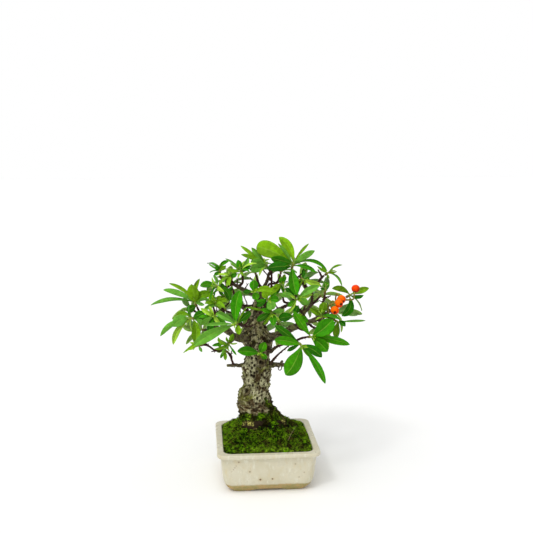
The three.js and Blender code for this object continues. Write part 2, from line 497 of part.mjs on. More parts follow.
function mossRelief(x, y, share) {
  const fade = Math.min(1, 4 * (1 - share)) * Math.min(1, 0.4 + 3 * share);
  const waves = Math.sin(x * 0.62 + 1.3) * Math.sin(y * 0.71) + 0.7 * Math.sin(x * 0.31 - y * 0.43 + 2);
  return MOSS_RELIEF * fade * waves;
}

function soilTop(x, y, angle, share) {
  return moundHeight(angle, share) - MOSS_THICKNESS - (MOSS_EDGE - MOSS_THICKNESS - SOIL_EDGE) * share;
}

function makeSoil() {
  const flat = (z) => () => z;
  const rings = [
    carpetRing(0, flat(HOLE_FLOOR), SOIL_EDGE),
    carpetRing(0, soilTop, SOIL_EDGE),
    carpetRing(0.3, soilTop, SOIL_EDGE),
    carpetRing(0.65, soilTop, SOIL_EDGE),
    carpetRing(1, soilTop, SOIL_EDGE),
    carpetRing(1, flat(10), 10),
    carpetRing(1, flat(6.8), 6.8),
    carpetRing(1, flat(SOIL_BOTTOM), SOIL_BOTTOM),
  ];
  return solidFromRings(rings.reverse());
}

function makeMoss() {
  const under = (x, y, angle, share) => soilTop(x, y, angle, share) + GAP;
  const over = (x, y, angle, share) => moundHeight(angle, share) + mossRelief(x, y, share);
  const rings = [1, 0.65, 0.3, 0].map((share) => carpetRing(share, under, SOIL_EDGE));
  for (let i = 0; i <= CARPET_RINGS; i += 1) {
    const share = i / CARPET_RINGS;
    rings.push(carpetRing(share, over, MOSS_EDGE));
  }
  return toGeometry(toManifold(ringAround(rings)));
}

// A ring-shaped solid: the last ring joins the first.
function ringAround(rings) {
  const count = rings[0].length;
  const vertices = [];
  const triangles = [];
  rings.forEach((ring) => ring.forEach((point) => vertices.push(point.x, point.y, point.z)));
  rings.forEach((ring, level) => {
    const next = (level + 1) % rings.length;
    for (let side = 0; side < count; side += 1) {
      const a = level * count + side;
      const b = level * count + (side + 1) % count;
      const c = next * count + (side + 1) % count;
      const d = next * count + side;
      triangles.push(a, c, b);
      triangles.push(a, d, c);
    }
  });
  const geometry = new THREE.BufferGeometry();
  geometry.setAttribute('position', new THREE.Float32BufferAttribute(vertices, 3));
  geometry.setIndex(triangles);
  return geometry;
}

// Branches and twigs

function branchPoints(list) {
  return list.map(([x, z, depth, radius]) => ({ point: place(x, z, depth), radius }));
}

function radiusAlong(nodes, t) {
  const scaled = t * (nodes.length - 1);
  const i = Math.min(nodes.length - 2, Math.floor(scaled));
  return nodes[i].radius + (nodes[i + 1].radius - nodes[i].radius) * (scaled - i);
}

function makeBranch(nodes, sides, steps) {
  const curve = new THREE.CatmullRomCurve3(nodes.map((node) => node.point));
  const frames = curve.computeFrenetFrames(steps, false);
  const rings = [];
  for (let i = 0; i <= steps; i += 1) {
    const centre = curve.getPoint(i / steps);
    const radius = radiusAlong(nodes, i / steps);
    const ring = [];
    for (let side = 0; side < sides; side += 1) {
      const angle = side / sides * 2 * Math.PI;
      ring.push(centre.clone()
        .addScaledVector(frames.normals[i], radius * Math.cos(angle))
        .addScaledVector(frames.binormals[i], radius * Math.sin(angle)));
    }
    rings.push(ring);
  }
  return solidFromRings(rings);
}

// Everything that leaves keep clear of, in cubes of space

const CELL = 5;
const OBSTACLE_STEP = 1.5;
const cells = new Map();

function cellKey(i, j, k) {
  return (i + 64) + 128 * (j + 64) + 16384 * (k + 64);
}

function addObstacle(point, radius, owner) {
  const key = cellKey(Math.floor(point.x / CELL), Math.floor(point.y / CELL), Math.floor(point.z / CELL));
  if (!cells.has(key)) cells.set(key, []);
  cells.get(key).push({ point, radius, owner });
}

// Wood and berries are solid, so only half of the clearance between two leaves is kept to their skin.
function solidRadius(radius) {
  return radius + 0.3 - LEAF_CLEARANCE / 2;
}

function addBranchObstacles(nodes, owner) {
  const curve = new THREE.CatmullRomCurve3(nodes.map((node) => node.point));
  const steps = Math.ceil(curve.getLength() / OBSTACLE_STEP);
  for (let i = 0; i <= steps; i += 1) {
    addObstacle(curve.getPoint(i / steps), solidRadius(radiusAlong(nodes, i / steps)), owner);
  }
}

function addTrunkObstacles() {
  const bark = 3;
  const turns = 16;
  const top = TRUNK_LEVELS[TRUNK_LEVELS.length - 1][0];
  for (let z = MOSS_CONTACT; z < top; z += 2) {
    const { x, half } = trunkAt(z);
    const depth = Math.max(0, half - bark);
    for (let turn = 0; turn < turns; turn += 1) {
      const angle = turn / turns * 2 * Math.PI;
      const onRing = new THREE.Vector3(x + depth * Math.cos(angle), TRUNK_Y + depth * Math.sin(angle), z);
      addObstacle(onRing, solidRadius(bark + 0.1), 'trunk');
    }
  }
}

// A shoot's own leaves may cross, and it keeps no clearance to the end of its own twig.
function isClear(point, shoot) {
  const ci = Math.floor(point.x / CELL);
  const cj = Math.floor(point.y / CELL);
  const ck = Math.floor(point.z / CELL);
  for (let i = ci - 1; i <= ci + 1; i += 1) {
    for (let j = cj - 1; j <= cj + 1; j += 1) {
      for (let k = ck - 1; k <= ck + 1; k += 1) {
        const found = cells.get(cellKey(i, j, k)) || [];
        for (const other of found) {
          const near = other.point.distanceTo(point) < LEAF_CLEARANCE + other.radius;
          const seat = other.owner === shoot.twig && other.point.distanceTo(shoot.foot) < TWIG_END;
          const own = other.owner === shoot.name || seat;
          if (near && !own) return false;
        }
      }
    }
  }
  return true;
}

// Leaves

function leafPoint(leaf, t) {
  return leaf.base.clone().lerp(leaf.tip, t).addScaledVector(leaf.bend, 4 * t * (1 - t));
}

function leafFrame(leaf, t) {
  const before = leafPoint(leaf, Math.max(0, t - 0.05));
  const along = leafPoint(leaf, Math.min(1, t + 0.05)).sub(before).normalize();
  const side = new THREE.Vector3().crossVectors(leaf.normal, along).normalize();
  const up = new THREE.Vector3().crossVectors(along, side).normalize();
  return { side, up };
}

function profileOf(leaf) {
  if (leaf.small) return SMALL_BLADE;
  return leaf.base.distanceTo(leaf.tip) > LONG_BLADE_FROM ? LONG_BLADE : SHORT_BLADE;
}

function widthShare(profile, t) {
  const knots = [[0, 0], ...profile, [1, 0]];
  for (let i = 1; i < knots.length; i += 1) {
    if (t <= knots[i][0]) {
      const [t0, w0] = knots[i - 1];
      const [t1, w1] = knots[i];
      return w0 + (w1 - w0) * (t - t0) / (t1 - t0);
    }
  }
  return 0;
}

function makeBlade(leaf) {
  const profile = profileOf(leaf);
  const rings = profile.map(([t, share]) => {
    const centre = leafPoint(leaf, t);
    const { side, up } = leafFrame(leaf, t);
    const half = Math.max(PETIOLE_HALF_WIDTH, leaf.width / 2 * share);
    const rise = up.clone().multiplyScalar(half * BLADE_FOLD);
    return [
      centre.clone().addScaledVector(side, half).add(rise),
      centre.clone().addScaledVector(side, -half).add(rise),
      centre.clone().addScaledVector(up, -BLADE_THICKNESS),
    ];
  });
  return bladeFromSections(leaf.base, rings, leaf.tip);
}

function bladeFromSections(base, rings, tip) {
  const points = [base, ...rings.flat(), tip];
  const triangles = [];
  for (let side = 0; side < 3; side += 1) {
    const next = (side + 1) % 3;
    triangles.push(0, 1 + next, 1 + side);
    for (let level = 0; level < rings.length - 1; level += 1) {
      const a = 1 + level * 3 + side;
      const b = 1 + level * 3 + next;
      triangles.push(a, b, b + 3);
      triangles.push(a, b + 3, a + 3);
    }
    const last = 1 + (rings.length - 1) * 3;
    triangles.push(last + side, last + next, points.length - 1);
  }
  const geometry = new THREE.BufferGeometry();
  const positions = points.flatMap((point) => [point.x, point.y, point.z]);
  geometry.setAttribute('position', new THREE.Float32BufferAttribute(positions, 3));
  geometry.setIndex(triangles);
  return geometry;
}

function leafSamples(leaf) {
  const profile = profileOf(leaf);
  const steps = Math.ceil(leaf.base.distanceTo(leaf.tip) / 2.2);
  const across = leaf.width > 5 ? [-1, -0.5, 0, 0.5, 1] : [-1, 0, 1];
  const samples = [];
  for (let i = 1; i <= steps; i += 1) {
    const t = i / steps;
    const { side } = leafFrame(leaf, t);
    const half = leaf.width / 2 * widthShare(profile, t);
    across.forEach((share) => samples.push(leafPoint(leaf, t).addScaledVector(side, half * share)));
  }
  return samples;
}

// A leaf read from the photograph. Another depth keeps it on the same line of sight.
function pictureLeaf(shoot, row, step, depthChange) {
  const [x, z, depth, width, turn, bow] = row;
  const base = shoot.point.clone().addScaledVector(shoot.axis, step);
  const tip = place(x, z, depth + depthChange);
  const along = tip.clone().sub(base).normalize();
  const toViewer = VIEWPOINT.clone().sub(base).normalize();
  const left = new THREE.Vector3().crossVectors(toViewer, along).normalize();
  const normal = new THREE.Vector3().crossVectors(along, left);
  normal.applyAxisAngle(along, turn * Math.PI / 180);
  return { base, tip, width, normal, bend: left.multiplyScalar(bow) };
}

// A small leaf that grows from the shoot in a spiral
function spiralLeaf(shoot, index, attempt, random) {
  const angle = (index + attempt * 0.37) * 2.4 + shoot.start;
  const opening = (58 + 34 * random()) * Math.PI / 180;
  const [shortest, longest] = SMALL_LEAF_LENGTH;
  const length = (shortest + (longest - shortest) * random()) * shoot.size * (1 - 0.03 * attempt);
  const out = shoot.across.clone().applyAxisAngle(shoot.axis, angle);
  const direction = out.multiplyScalar(Math.sin(opening)).addScaledVector(shoot.axis, Math.cos(opening));
  const base = shoot.point.clone().addScaledVector(shoot.axis, 1.6 - 0.4 * (index % 8));
  const tip = base.clone().addScaledVector(direction, length);
  tip.z -= 0.1 * length;
  const normal = shoot.axis.clone().addScaledVector(direction, -shoot.axis.dot(direction)).normalize();
  const width = length * SMALL_LEAF_SLENDERNESS * (0.85 + 0.3 * random());
  return { base, tip, width, normal, bend: normal.clone().multiplyScalar(0.07 * length), small: true };
}

function keepIfClear(shoot, leaf) {
  const samples = leafSamples(leaf);
  if (!samples.every((point) => isClear(point, shoot))) return false;
  samples.forEach((point) => addObstacle(point, 0, shoot.name));
  shoot.blades.push(leaf);
  return true;
}

function growPictureLeaves(shoot) {
  const depthChanges = [0, 3, -3, 6, -6, 9, -9, 13, -13];
  shoot.leaves.forEach((row, index) => {
    const step = 1.6 - 0.45 * (index % 8);
    depthChanges.some((change) => keepIfClear(shoot, pictureLeaf(shoot, row, step, change)));
  });
}

function growSmallLeaves(shoot, random) {
  for (let index = 0; index < shoot.more; index += 1) {
    for (let attempt = 0; attempt < TRIES; attempt += 1) {
      if (keepIfClear(shoot, spiralLeaf(shoot, index, attempt, random))) break;
    }
  }
}

function prepareShoot(row, index) {
  const point = place(...row.at);
  const [right, up, near] = row.aim;
  const axis = new THREE.Vector3(right, -near, up).normalize();
  const helper = Math.abs(axis.z) > 0.8 ? new THREE.Vector3(1, 0, 0) : new THREE.Vector3(0, 0, 1);
  return {
    size: 1,
    ...row,
    twig: `${row.name} twig`,
    point,
    axis,
    across: new THREE.Vector3().crossVectors(axis, helper).normalize(),
    foot: point.clone().addScaledVector(axis, -SHOOT_BEHIND),
    start: index * 1.1,
    blades: [],
  };
}

function makeShootCore(shoot) {
  const rings = [[-SHOOT_BEHIND, 0.9], [0.4, 1], [SHOOT_AHEAD, 0.35]].map(([along, share]) => {
    const ring = [];
    for (let side = 0; side < 4; side += 1) {
      const out = shoot.across.clone().applyAxisAngle(shoot.axis, side * Math.PI / 2);
      ring.push(shoot.point.clone().addScaledVector(shoot.axis, along)
        .addScaledVector(out, SHOOT_RADIUS * share));
    }
    return ring;
  });
  return solidFromRings(rings);
}

// The twig that carries a shoot, from the nearest limb
function twigFor(shoot, limbs) {
  const seat = shoot.foot.clone().addScaledVector(shoot.axis, -0.3);
  const wanted = seat.clone().addScaledVector(shoot.axis, -7);
  let best = null;
  limbs.forEach((nodes) => {
    const curve = new THREE.CatmullRomCurve3(nodes.map((node) => node.point));
    for (let i = 0; i <= 20; i += 1) {
      const point = curve.getPoint(i / 20);
      const distance = point.distanceTo(wanted);
      if (!best || distance < best.distance) best = { point, distance, radius: radiusAlong(nodes, i / 20) };
    }
  });
  const reach = best.point.distanceTo(seat);
  const middle = seat.clone().addScaledVector(shoot.axis, -0.45 * reach).lerp(best.point, 0.3);
  return [
    { point: best.point, radius: Math.min(best.radius * 0.8, 0.9 + 0.02 * reach) },
    { point: middle, radius: 0.95 },
    { point: seat, radius: 0.8 },
  ];
}

// Berries

function calyxDirection(berry) {
  const [right, up, near] = berry.calyx;
  return new THREE.Vector3(right, -near, up).normalize();
}

function berryStalk(berry) {
  const [start, bend] = berry.stalk.map((spot) => place(...spot));
  const centre = place(...berry.at);
  const axis = calyxDirection(berry);
  const end = centre.clone().addScaledVector(axis, -berry.radius * BERRY_LENGTH * BERRY_DIMPLE - GAP);
  const nearEnd = end.clone().addScaledVector(axis, -2.6);
  return [
    { point: start, radius: STALK_RADIUS * 1.3 },
    { point: bend, radius: STALK_RADIUS },
    { point: nearEnd, radius: STALK_RADIUS * 0.9 },
    { point: end, radius: STALK_RADIUS * 0.9 },
  ];
}

function makeBerry(berry) {
  const { radius } = berry;
  const half = [];
  const steps = 7;
  for (let i = 0; i <= steps; i += 1) {
    const angle = i / steps * Math.PI;
    const length = BERRY_LENGTH * (i === 0 ? BERRY_DIMPLE : 1);
    half.push(new THREE.Vector2(radius * Math.sin(angle), -radius * length * Math.cos(angle)));
  }
  half[0].x = 0;
  half[steps].x = 0;
  const flesh = new THREE.LatheGeometry(half, 10);
  const crown = new THREE.ConeGeometry(radius * 0.32, radius * 0.4, 5);
  crown.translate(0, radius * 0.9, 0);
  const turn = new THREE.Quaternion().setFromUnitVectors(new THREE.Vector3(0, 1, 0), calyxDirection(berry));
  const centre = place(...berry.at);
  return joinAll([flesh, crown]).applyQuaternion(turn).translate(centre.x, centre.y, centre.z);
}

// The whole tree

const limbs = LIMBS.map(branchPoints);
const bareTwigs = BARE_TWIGS.map(branchPoints);
const stalks = BERRIES.map(berryStalk);
const shoots = SHOOTS.map(prepareShoot);
const leafTwigs = shoots.map((shoot) => twigFor(shoot, limbs.concat(bareTwigs)));

[...limbs, ...bareTwigs, ...stalks].forEach((nodes) => addBranchObstacles(nodes, 'wood'));
leafTwigs.forEach((nodes, index) => addBranchObstacles(nodes, shoots[index].twig));
addTrunkObstacles();
BERRIES.forEach((berry) => addObstacle(place(...berry.at), solidRadius(berry.radius), berry.name));
shoots.forEach((shoot) => {
  [-SHOOT_BEHIND, 0, SHOOT_AHEAD].forEach((along) => {
    addObstacle(shoot.point.clone().addScaledVector(shoot.axis, along), 0.6, shoot.name);
  });
});

const random = makeRandom(RANDOM_SEED);
shoots.forEach(growPictureLeaves);
shoots.forEach((shoot) => growSmallLeaves(shoot, random));

const tree = new THREE.Group();
tree.add(makeMesh('pot', makePot(), 0xded8c6, 0.35));
tree.add(makeMesh('soil', makeSoil(), 0x3a2a1c, 1));
tree.add(makeMesh('moss', makeMoss(), 0x3f6a14, 1));

const woodSolids = [makeTrunk()];
limbs.forEach((nodes) => woodSolids.push(makeBranch(nodes, LIMB_SIDES, Math.max(4, nodes.length))));
bareTwigs.forEach((nodes) => woodSolids.push(makeBranch(nodes, BARE_TWIG_SIDES, nodes.length - 1)));
[...stalks, ...leafTwigs].forEach((nodes) => {
  woodSolids.push(makeBranch(nodes, LEAF_TWIG_SIDES, nodes.length - 1));
});
tree.add(makeMesh('wood', joinAll(woodSolids), 0x8d8370, 0.9));

BERRIES.forEach((berry) => {
  const color = berry.name === 'berry_red' ? 0xe0300c : 0xff6a0a;
  tree.add(makeMesh(berry.name, makeBerry(berry), color, 0.3));
});
shoots.forEach((shoot) => {
  const solids = [makeShootCore(shoot), ...shoot.blades.map(makeBlade)];
  tree.add(makeMesh(shoot.name, joinAll(solids), 0x2f8a12, 0.45));
});

// The tree reaches further to the left than to the right, so it is moved to stand with the middle
// of its outer box over the origin.
const bounds = new THREE.Box3().setFromObject(tree);
const middle = bounds.getCenter(new THREE.Vector3());
tree.position.set(-middle.x, -middle.y, 0);

const bonsai = new THREE.Group();
bonsai.add(tree);

export default bonsai;
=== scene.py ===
import itertools
import math
import random

import bpy
import numpy as np
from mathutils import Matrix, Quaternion, Vector, noise


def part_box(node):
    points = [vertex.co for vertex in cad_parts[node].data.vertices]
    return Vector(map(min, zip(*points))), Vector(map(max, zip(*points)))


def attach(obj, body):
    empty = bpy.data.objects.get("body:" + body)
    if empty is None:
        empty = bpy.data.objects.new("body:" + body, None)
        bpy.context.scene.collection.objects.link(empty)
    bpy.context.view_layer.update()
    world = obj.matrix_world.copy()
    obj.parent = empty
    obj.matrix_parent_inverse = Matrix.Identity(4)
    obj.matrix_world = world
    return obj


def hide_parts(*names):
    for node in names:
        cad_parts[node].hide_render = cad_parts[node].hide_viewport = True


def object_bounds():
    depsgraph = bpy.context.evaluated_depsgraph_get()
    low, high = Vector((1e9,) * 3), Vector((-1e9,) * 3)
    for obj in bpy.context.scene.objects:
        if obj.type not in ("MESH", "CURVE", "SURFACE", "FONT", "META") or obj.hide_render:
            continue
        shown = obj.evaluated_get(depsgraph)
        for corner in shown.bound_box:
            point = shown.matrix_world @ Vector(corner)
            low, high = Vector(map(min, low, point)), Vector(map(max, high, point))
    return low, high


# Narrowleaf firethorn bonsai in its square glazed pot: the fine surfaces that stand for the frame's
# plain solids. Tables and forms are in millimetres, round the middle of the pot, and Form.in_frame
# turns them into metres in the frame.

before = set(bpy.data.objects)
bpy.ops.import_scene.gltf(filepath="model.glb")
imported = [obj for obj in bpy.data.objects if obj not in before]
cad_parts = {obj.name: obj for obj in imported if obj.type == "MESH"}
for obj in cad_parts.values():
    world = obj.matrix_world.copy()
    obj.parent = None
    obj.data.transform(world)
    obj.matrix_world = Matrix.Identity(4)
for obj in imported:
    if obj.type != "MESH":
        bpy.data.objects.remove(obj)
cad_low, cad_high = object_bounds()

MM = 0.001
pot_low, pot_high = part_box("pot")
FRAME_SHIFT = np.array([(pot_low.x + pot_high.x) / 2, (pot_low.y + pot_high.y) / 2, 0.0])
BOX_LOW, BOX_HIGH = [np.array(corner) / MM - FRAME_SHIFT / MM for corner in (cad_low, cad_high)]
RIGHT, BACK, UP = np.eye(3)
TURN = 2 * math.pi


def rgb(*color):
    """A colour from 0 to 255 as it looks, as linear light from 0 to 1"""
    share = np.array(color) / 255
    return np.where(share <= 0.04045, share / 12.92, ((share + 0.055) / 1.055) ** 2.4)


# Pot: a profile point is [half width, height]
POT_TOP = 32.7
POT_CORNER_RADIUS = 7
POT_CORNER_STEPS = 14
POT_OUTSIDE = [(29.4, 0), (29.6, 0), (31.9, 2.4), (34.0, 5.6), (35.4, 10), (36.5, 20), (37.3, 28.4),
               (38.2, 29.3), (39.5, 29.5), (40.0, 30.1), (40.0, 31.9), (39.5, POT_TOP), (38.6, POT_TOP)]
POT_INSIDE = [(36.0, POT_TOP), (35.2, POT_TOP), (34.6, 32.0), (34.1, 28), (32.6, 10), (31.2, 6.4),
              (29.4, 4.8), (24.0, 4.7)]
FOOT_CHANNEL = [(-15.5, -1), (15.5, -1), (13.5, 0.6), (9.1, 2.0), (-9.1, 2.0), (-13.5, 0.6)]
DRAIN_RADIUS = 5
DRAIN_SIDES = 32
DRAIN_LEVELS = (-2, 12)
CHANNEL_ENDS = (45, -45)
SIDE_POINTS = 7
FOOT_BAND_TOP = 6.6
FOOT_BAND_EDGE = 0.9
FOOT_BAND_WAVE = 2.4
PINHOLE_SPACING = 6.5
# Pinholes and a scratch in the glaze of the front: x, z, radius, depth of the stain from 0 to 1
GLAZE_SPOTS = [
    (-7.0, 11.3, 1.1, 1.0), (2.4, 11.6, 0.9, 1.0), (-15.1, 18.3, 0.9, 0.6), (-23.6, 26.7, 1.0, 0.6),
    (19.9, 23.7, 0.9, 0.4), (23.0, 12.4, 0.8, 0.4), (26.9, 16.3, 0.8, 0.4), (-25.6, 23.6, 0.7, 0.35),
    (-26.6, 22.1, 0.7, 0.4), (-27.7, 20.6, 0.7, 0.4), (-28.8, 19.0, 0.6, 0.35),
]

# Moss
GAP = 0.35
MOSS_EDGE = 32.0
MOSS_CONTACT = 44.5
ROOT_CONTACT_DROP = 4.5
ROOT_CONTACT_SPREAD = 0.5
MOSS_THICKNESS = 4.2
MOSS_RELIEF = 1.1
HOLE_CLEARANCE = 0.6
MOSS_SECTORS = 260
MOSS_RINGS = 60
MOSS_INNER_SHARE = -0.06
MOSS_SPRIGS = 42000
MOSS_SPRIG_REACH = 0.985
SPRIG_LEAN = 0.95
ROOT_SPRIGS = 14000
SPRIG_WIDTH = 0.24
MOSS_STRANDS = 2600
MOSS_LOW = 45.5
MOSS_BAND_FROM = (45.8, 47.4)
MOSS_BAND_TO = (52.4, 50.4)
MOSS_BAND_END = (14, 10)
MOSS_CLIMB_LOW = 46
MOSS_CLIMB_RISE = 18
MOSS_CLIMB_TURN = -0.62
MOSS_CLIMB_SPREAD = 0.5
STRAW_SEEN = [(18.5, 28.6, 27, 0.16), (21.4, 34.8, 21, 0.15), (25.6, 41.0, 12, 0.1)]
# Where the moss is worn to the brown under it: x, z, half width, half height
MOSS_WORN = [(21.4, 43.6, 3.0, 3.2)]

# Trunk: each level is [height, middle in x, half width]
TRUNK_Y = 6
TRUNK_FOOT = 17
TRUNK_SECTORS = 220
TRUNK_STEP = 0.5
TRUNK_LEVELS = [
    (40, -3.0, 15.4), (43, -3.5, 15.2), (46, -4.2, 14.8), (50, -5.4, 14.3), (55, -6.6, 13.6),
    (60, -8.2, 13.2), (65, -9.5, 12.8), (71, -8.6, 11.8), (75, -6.9, 10.4), (80, -6.8, 11.0),
    (84, -6.5, 10.2), (90, -7.2, 11.3), (97, -5.5, 9.5), (103, -5.4, 10.1), (108, -5.8, 11.4),
    (114, -6.4, 11.8), (120, -7.6, 9.2), (127, -7.8, 6.6), (135, -6.8, 4.5), (144, -5.2, 3.0),
]
KNOB_HEIGHT = 0.75
KNOB_FULL_HALF = 12
KNOB_FADE = 10
RELIEF_FROM = (40, 47)
HUMPS_FROM = (35, 39)
KNOB_WAVES = [(3, 0.31, 0, 0.6), (2, -0.22, 1.7, 0.6), (5, -0.47, 0.6, 0.4), (7, 0.63, 0, 0.4)]
ROOTS = [(-3, 12.5, 30), (118, 3.0, 30), (196, 3.4, 34), (252, 4.0, 30), (305, 3.6, 28)]
ROOT_FLARE_TOP = 66
ROOT_FLARE_POWER = 2.6
TRUNK_HIDDEN_LEVELS = (TRUNK_FOOT, 28, 36)
TRUNK_FINE_FROM = 38
# Reach, weight and number of the samples that round off the corners between two levels
TRUNK_ROUNDING = (2.4, 1.5, 9)
# Heights between which a look of the bark fades in, upward or downward
HIGH_BARK_FROM = (99, 108)
FOLDS_BELOW = (66, 58)
EARTH_BELOW = (56, 51)
RIGHT_ROOT_EARTH_BELOW = (66, 60)
RIGHT_ROOT_SPREAD = 0.75
# Where warts and pits are scattered: heights, spacing, number of tries
WART_ZONE = (46, 128, 3.6, 600)
WART_SIZES = (0.7, 1.3)
PIT_ZONE = (56, 112, 2.9, 900)
PIT_SIZES = (0.5, 1.0)
PIT_SIZES_SEEN = (0.8, 1.1)

# What the camera sees on the trunk. A spot starts with its x and z in the plane of the tables.
PITS_SEEN = [
    (-11.3, 98.0), (-11.0, 94.3), (-13.0, 92.5), (-11.2, 90.2), (-9.1, 91.7), (-7.8, 97.3), (-11.7, 87.1),
    (-14.0, 85.5), (-11.7, 83.9), (-9.4, 85.6), (-9.7, 82.5), (-13.7, 79.5), (-10.3, 75.4), (-12.7, 75.3),
    (-6.7, 64.3), (-2.5, 64.2), (0.7, 62.5), (-3.0, 69.9), (-1.3, 76.3), (1.4, 80.6), (3.2, 88.0),
    (-15.7, 95.8), (-6.9, 86.6), (0.4, 73.1),
]
# x, z, size
WARTS_SEEN = [
    (3.0, 87.5, 1.6), (3.4, 83.2, 1.7), (4.0, 79.3, 1.1), (2.8, 76.2, 1.5), (0.5, 84.0, 1.4),
    (1.2, 75.5, 1.3), (-19.8, 76.5, 1.3), (-22.3, 71.0, 1.2), (-23.0, 66.0, 1.3), (-22.0, 60.5, 1.2),
    (-18.0, 92.0, 2.2), (-17.5, 86.0, 1.5), (-21.5, 73.8, 1.0), (-23.0, 68.4, 1.0), (-22.6, 63.2, 1.0),
]
KNOTS_SEEN = [(-3.3, 94.5, 2.6), (-15.5, 71.3, 3.0)]
LICHEN_SEEN = [
    (-15.8, 44.6, 1.6), (-12.4, 45.2, 1.9), (-9.6, 44.0, 1.2), (-7.4, 39.9, 1.2), (9.4, 48.8, 1.8),
    (12.6, 46.2, 2.0), (15.0, 42.6, 1.3), (4.8, 50.9, 0.9),
]
# x, z, half width, half height, rise
HUMPS_SEEN = [(-11.8, 42.0, 8.0, 5.6, 4.2), (13.0, 46.0, 5.0, 5.0, 1.8), (19.0, 44.5, 3.6, 3.6, 1.6)]

# The camera looked from here. A place named by x, z and depth lies on the line of sight through
# (x, 0, z), and depth millimetres nearer the camera than the plane through the pot's middle.
VIEWPOINT = np.array([-50.4, -603.1, 264.2])
VIEW_TURN = -4.85
VIEW_PITCH = 8.67
LENS = 52.7
SENSOR_WIDTH = 36
CLIP_START = 0.01

# Lights and floor
ROOM_LIGHT_LOW = 0.34
ROOM_LIGHT_HIGH = 0.8
KEY_LIGHT = 1.2
GLINT_LIGHT = 0.5
KEY_FROM = (-0.45, -0.6, 0.9)
KEY_SPREAD = 65
GLINT_SPREAD = 9
FLOOR_REACH = 6.0
FLOOR_CLOUD = 120
FLOOR_WHITES = ((0.93, 0.93, 0.92, 1), (0.96, 0.96, 0.95, 1))
WHITE = (1, 1, 1, 1)

# Limbs and bare twigs: points are (x, z, depth, radius)
LIMBS = [
    [(-5.2, 142, -6, 3.0), (-8.5, 149, -4, 2.3), (-18, 154, 0, 1.9), (-27, 159, 4, 1.4),
     (-34, 163, -4, 0.9)],
    [(-5, 141, -6, 2.6), (-3.5, 151, -5, 1.9), (1, 160, -1, 1.6), (4, 168, 1, 1.3), (14, 170.5, 5, 1.0)],
    [(-2, 114, -5, 5.0), (8, 116, 0, 3.8), (16.5, 119.8, 6, 2.9), (25, 124, 10, 2.5),
     (36, 127.5, 12, 2.0), (47, 132.5, 11, 1.6), (56, 138.5, 6, 1.3), (63.5, 145, 2, 0.9)],
    [(25, 124, 9, 2.2), (30, 133.5, 7, 1.9), (36.5, 141, 2, 1.6), (37.2, 150.5, 0, 1.3),
     (39.5, 156, -2, 1.1), (45.5, 163, -3, 0.9)],
    [(8, 115.5, 2, 2.4), (17, 113, 16, 1.5), (25, 110.5, 30, 1.1)],
    [(-9, 115, -3, 5.0), (-17, 114.3, 0, 4.0), (-24, 115.5, 4, 3.2), (-29, 121, 7, 2.4),
     (-37, 127.5, 8, 1.8), (-48, 130.5, 8, 1.2)],
    [(-30, 121.5, 6, 1.9), (-34, 128.5, 4, 1.5), (-33, 135.5, 4, 1.3), (-34.5, 141, 6, 0.9)],
    [(-9, 122, -4, 3.0), (-15, 124, 8, 1.9), (-19, 125, 20, 1.4)],
    [(-7, 126, -8, 3.2), (-13, 135, -22, 2.0), (-22, 142, -36, 1.3)],
    [(-4, 124, -8, 3.4), (7, 135, -22, 2.2), (20, 142, -36, 1.4)],
    [(-5, 134, -8, 2.6), (-2, 148, -19, 1.7), (3, 158, -28, 1.1)],
    [(2, 114, -8, 3.8), (15, 118, -22, 2.4), (34, 126, -34, 1.4)],
    [(-12, 113, -8, 3.8), (-25, 117, -22, 2.4), (-42, 126, -32, 1.4)],
    [(-7, 131, -4, 2.5), (-4, 136, 8, 1.7), (1, 140, 18, 1.2)],
]
BARE_TWIGS = [
    [(-14, 92, -6, 2.2), (-22, 92.6, 0, 1.4), (-30.5, 92.5, 4, 1.1)],
    [(-25.5, 92.5, 2, 0.9), (-28, 99.5, 4, 0.7), (-29.3, 101.3, 4, 0.6)],
    [(-28, 99.5, 4, 0.7), (-27, 104.5, 4, 0.6)],
    [(2, 92.2, -5, 2.6), (11, 92.2, 2, 1.7), (20, 91.4, 6, 1.3)],
    [(11.5, 92, 2, 1.1), (13.6, 95.6, 2, 0.9)],
    [(3, 92.5, -3, 1.3), (10, 100.5, 8, 0.75), (19, 108, 20, 0.7)],
    [(4, 103, -3, 1.6), (9, 107, 5, 1.0), (15.5, 108.8, 14, 0.8)],
    [(-24, 115, 4, 1.2), (-29, 110.5, 7, 0.9), (-34.5, 105.3, 8, 0.8), (-40, 105, 9, 0.75),
     (-44.5, 108.3, 9, 0.7), (-47.2, 109.2, 10, 0.65)],
    [(-38, 105, 9, 0.75), (-43.2, 104.2, 10, 0.6)],
    [(4.6, 153, -2, 0.9), (4.8, 161, 0, 0.8), (4.9, 168.5, 1, 1.0)],
    [(4.6, 154, -2, 0.75), (8.6, 156.6, 2, 0.6)],
    [(-1.5, 153.5, -4, 1.1), (4.6, 153.3, -2, 0.9)],
    [(45, 162.5, -3, 1.0), (41.5, 169, -4, 0.7)],
    [(37, 149, 0, 1.1), (31, 157, 2, 0.8), (24.5, 161, 4, 0.8), (32, 168.5, 4, 0.7)],
    [(25, 160, 4, 0.7), (26, 157, 5, 0.7), (34, 160, 6, 0.8)],
    [(47.5, 131.8, 12, 1.1), (46, 143, 8, 0.75), (47.1, 148.0, 6, 0.7)],
    [(46.5, 145.8, 7, 0.7), (52, 147.6, 6, 0.6)],
]

# The bare twigs that are stubs of cut branches: blunt, nearly as grey as a limb, and rougher
STUBS = (0, 3, 4)

# A dry tendril that curls under the right stub
TENDRIL = [(12.6, 91.5, 3, 0.5), (13.0, 89.2, 4, 0.42), (11.6, 87.6, 4, 0.4), (10.2, 88.8, 4, 0.4),
           (11.2, 90.4, 4, 0.4)]

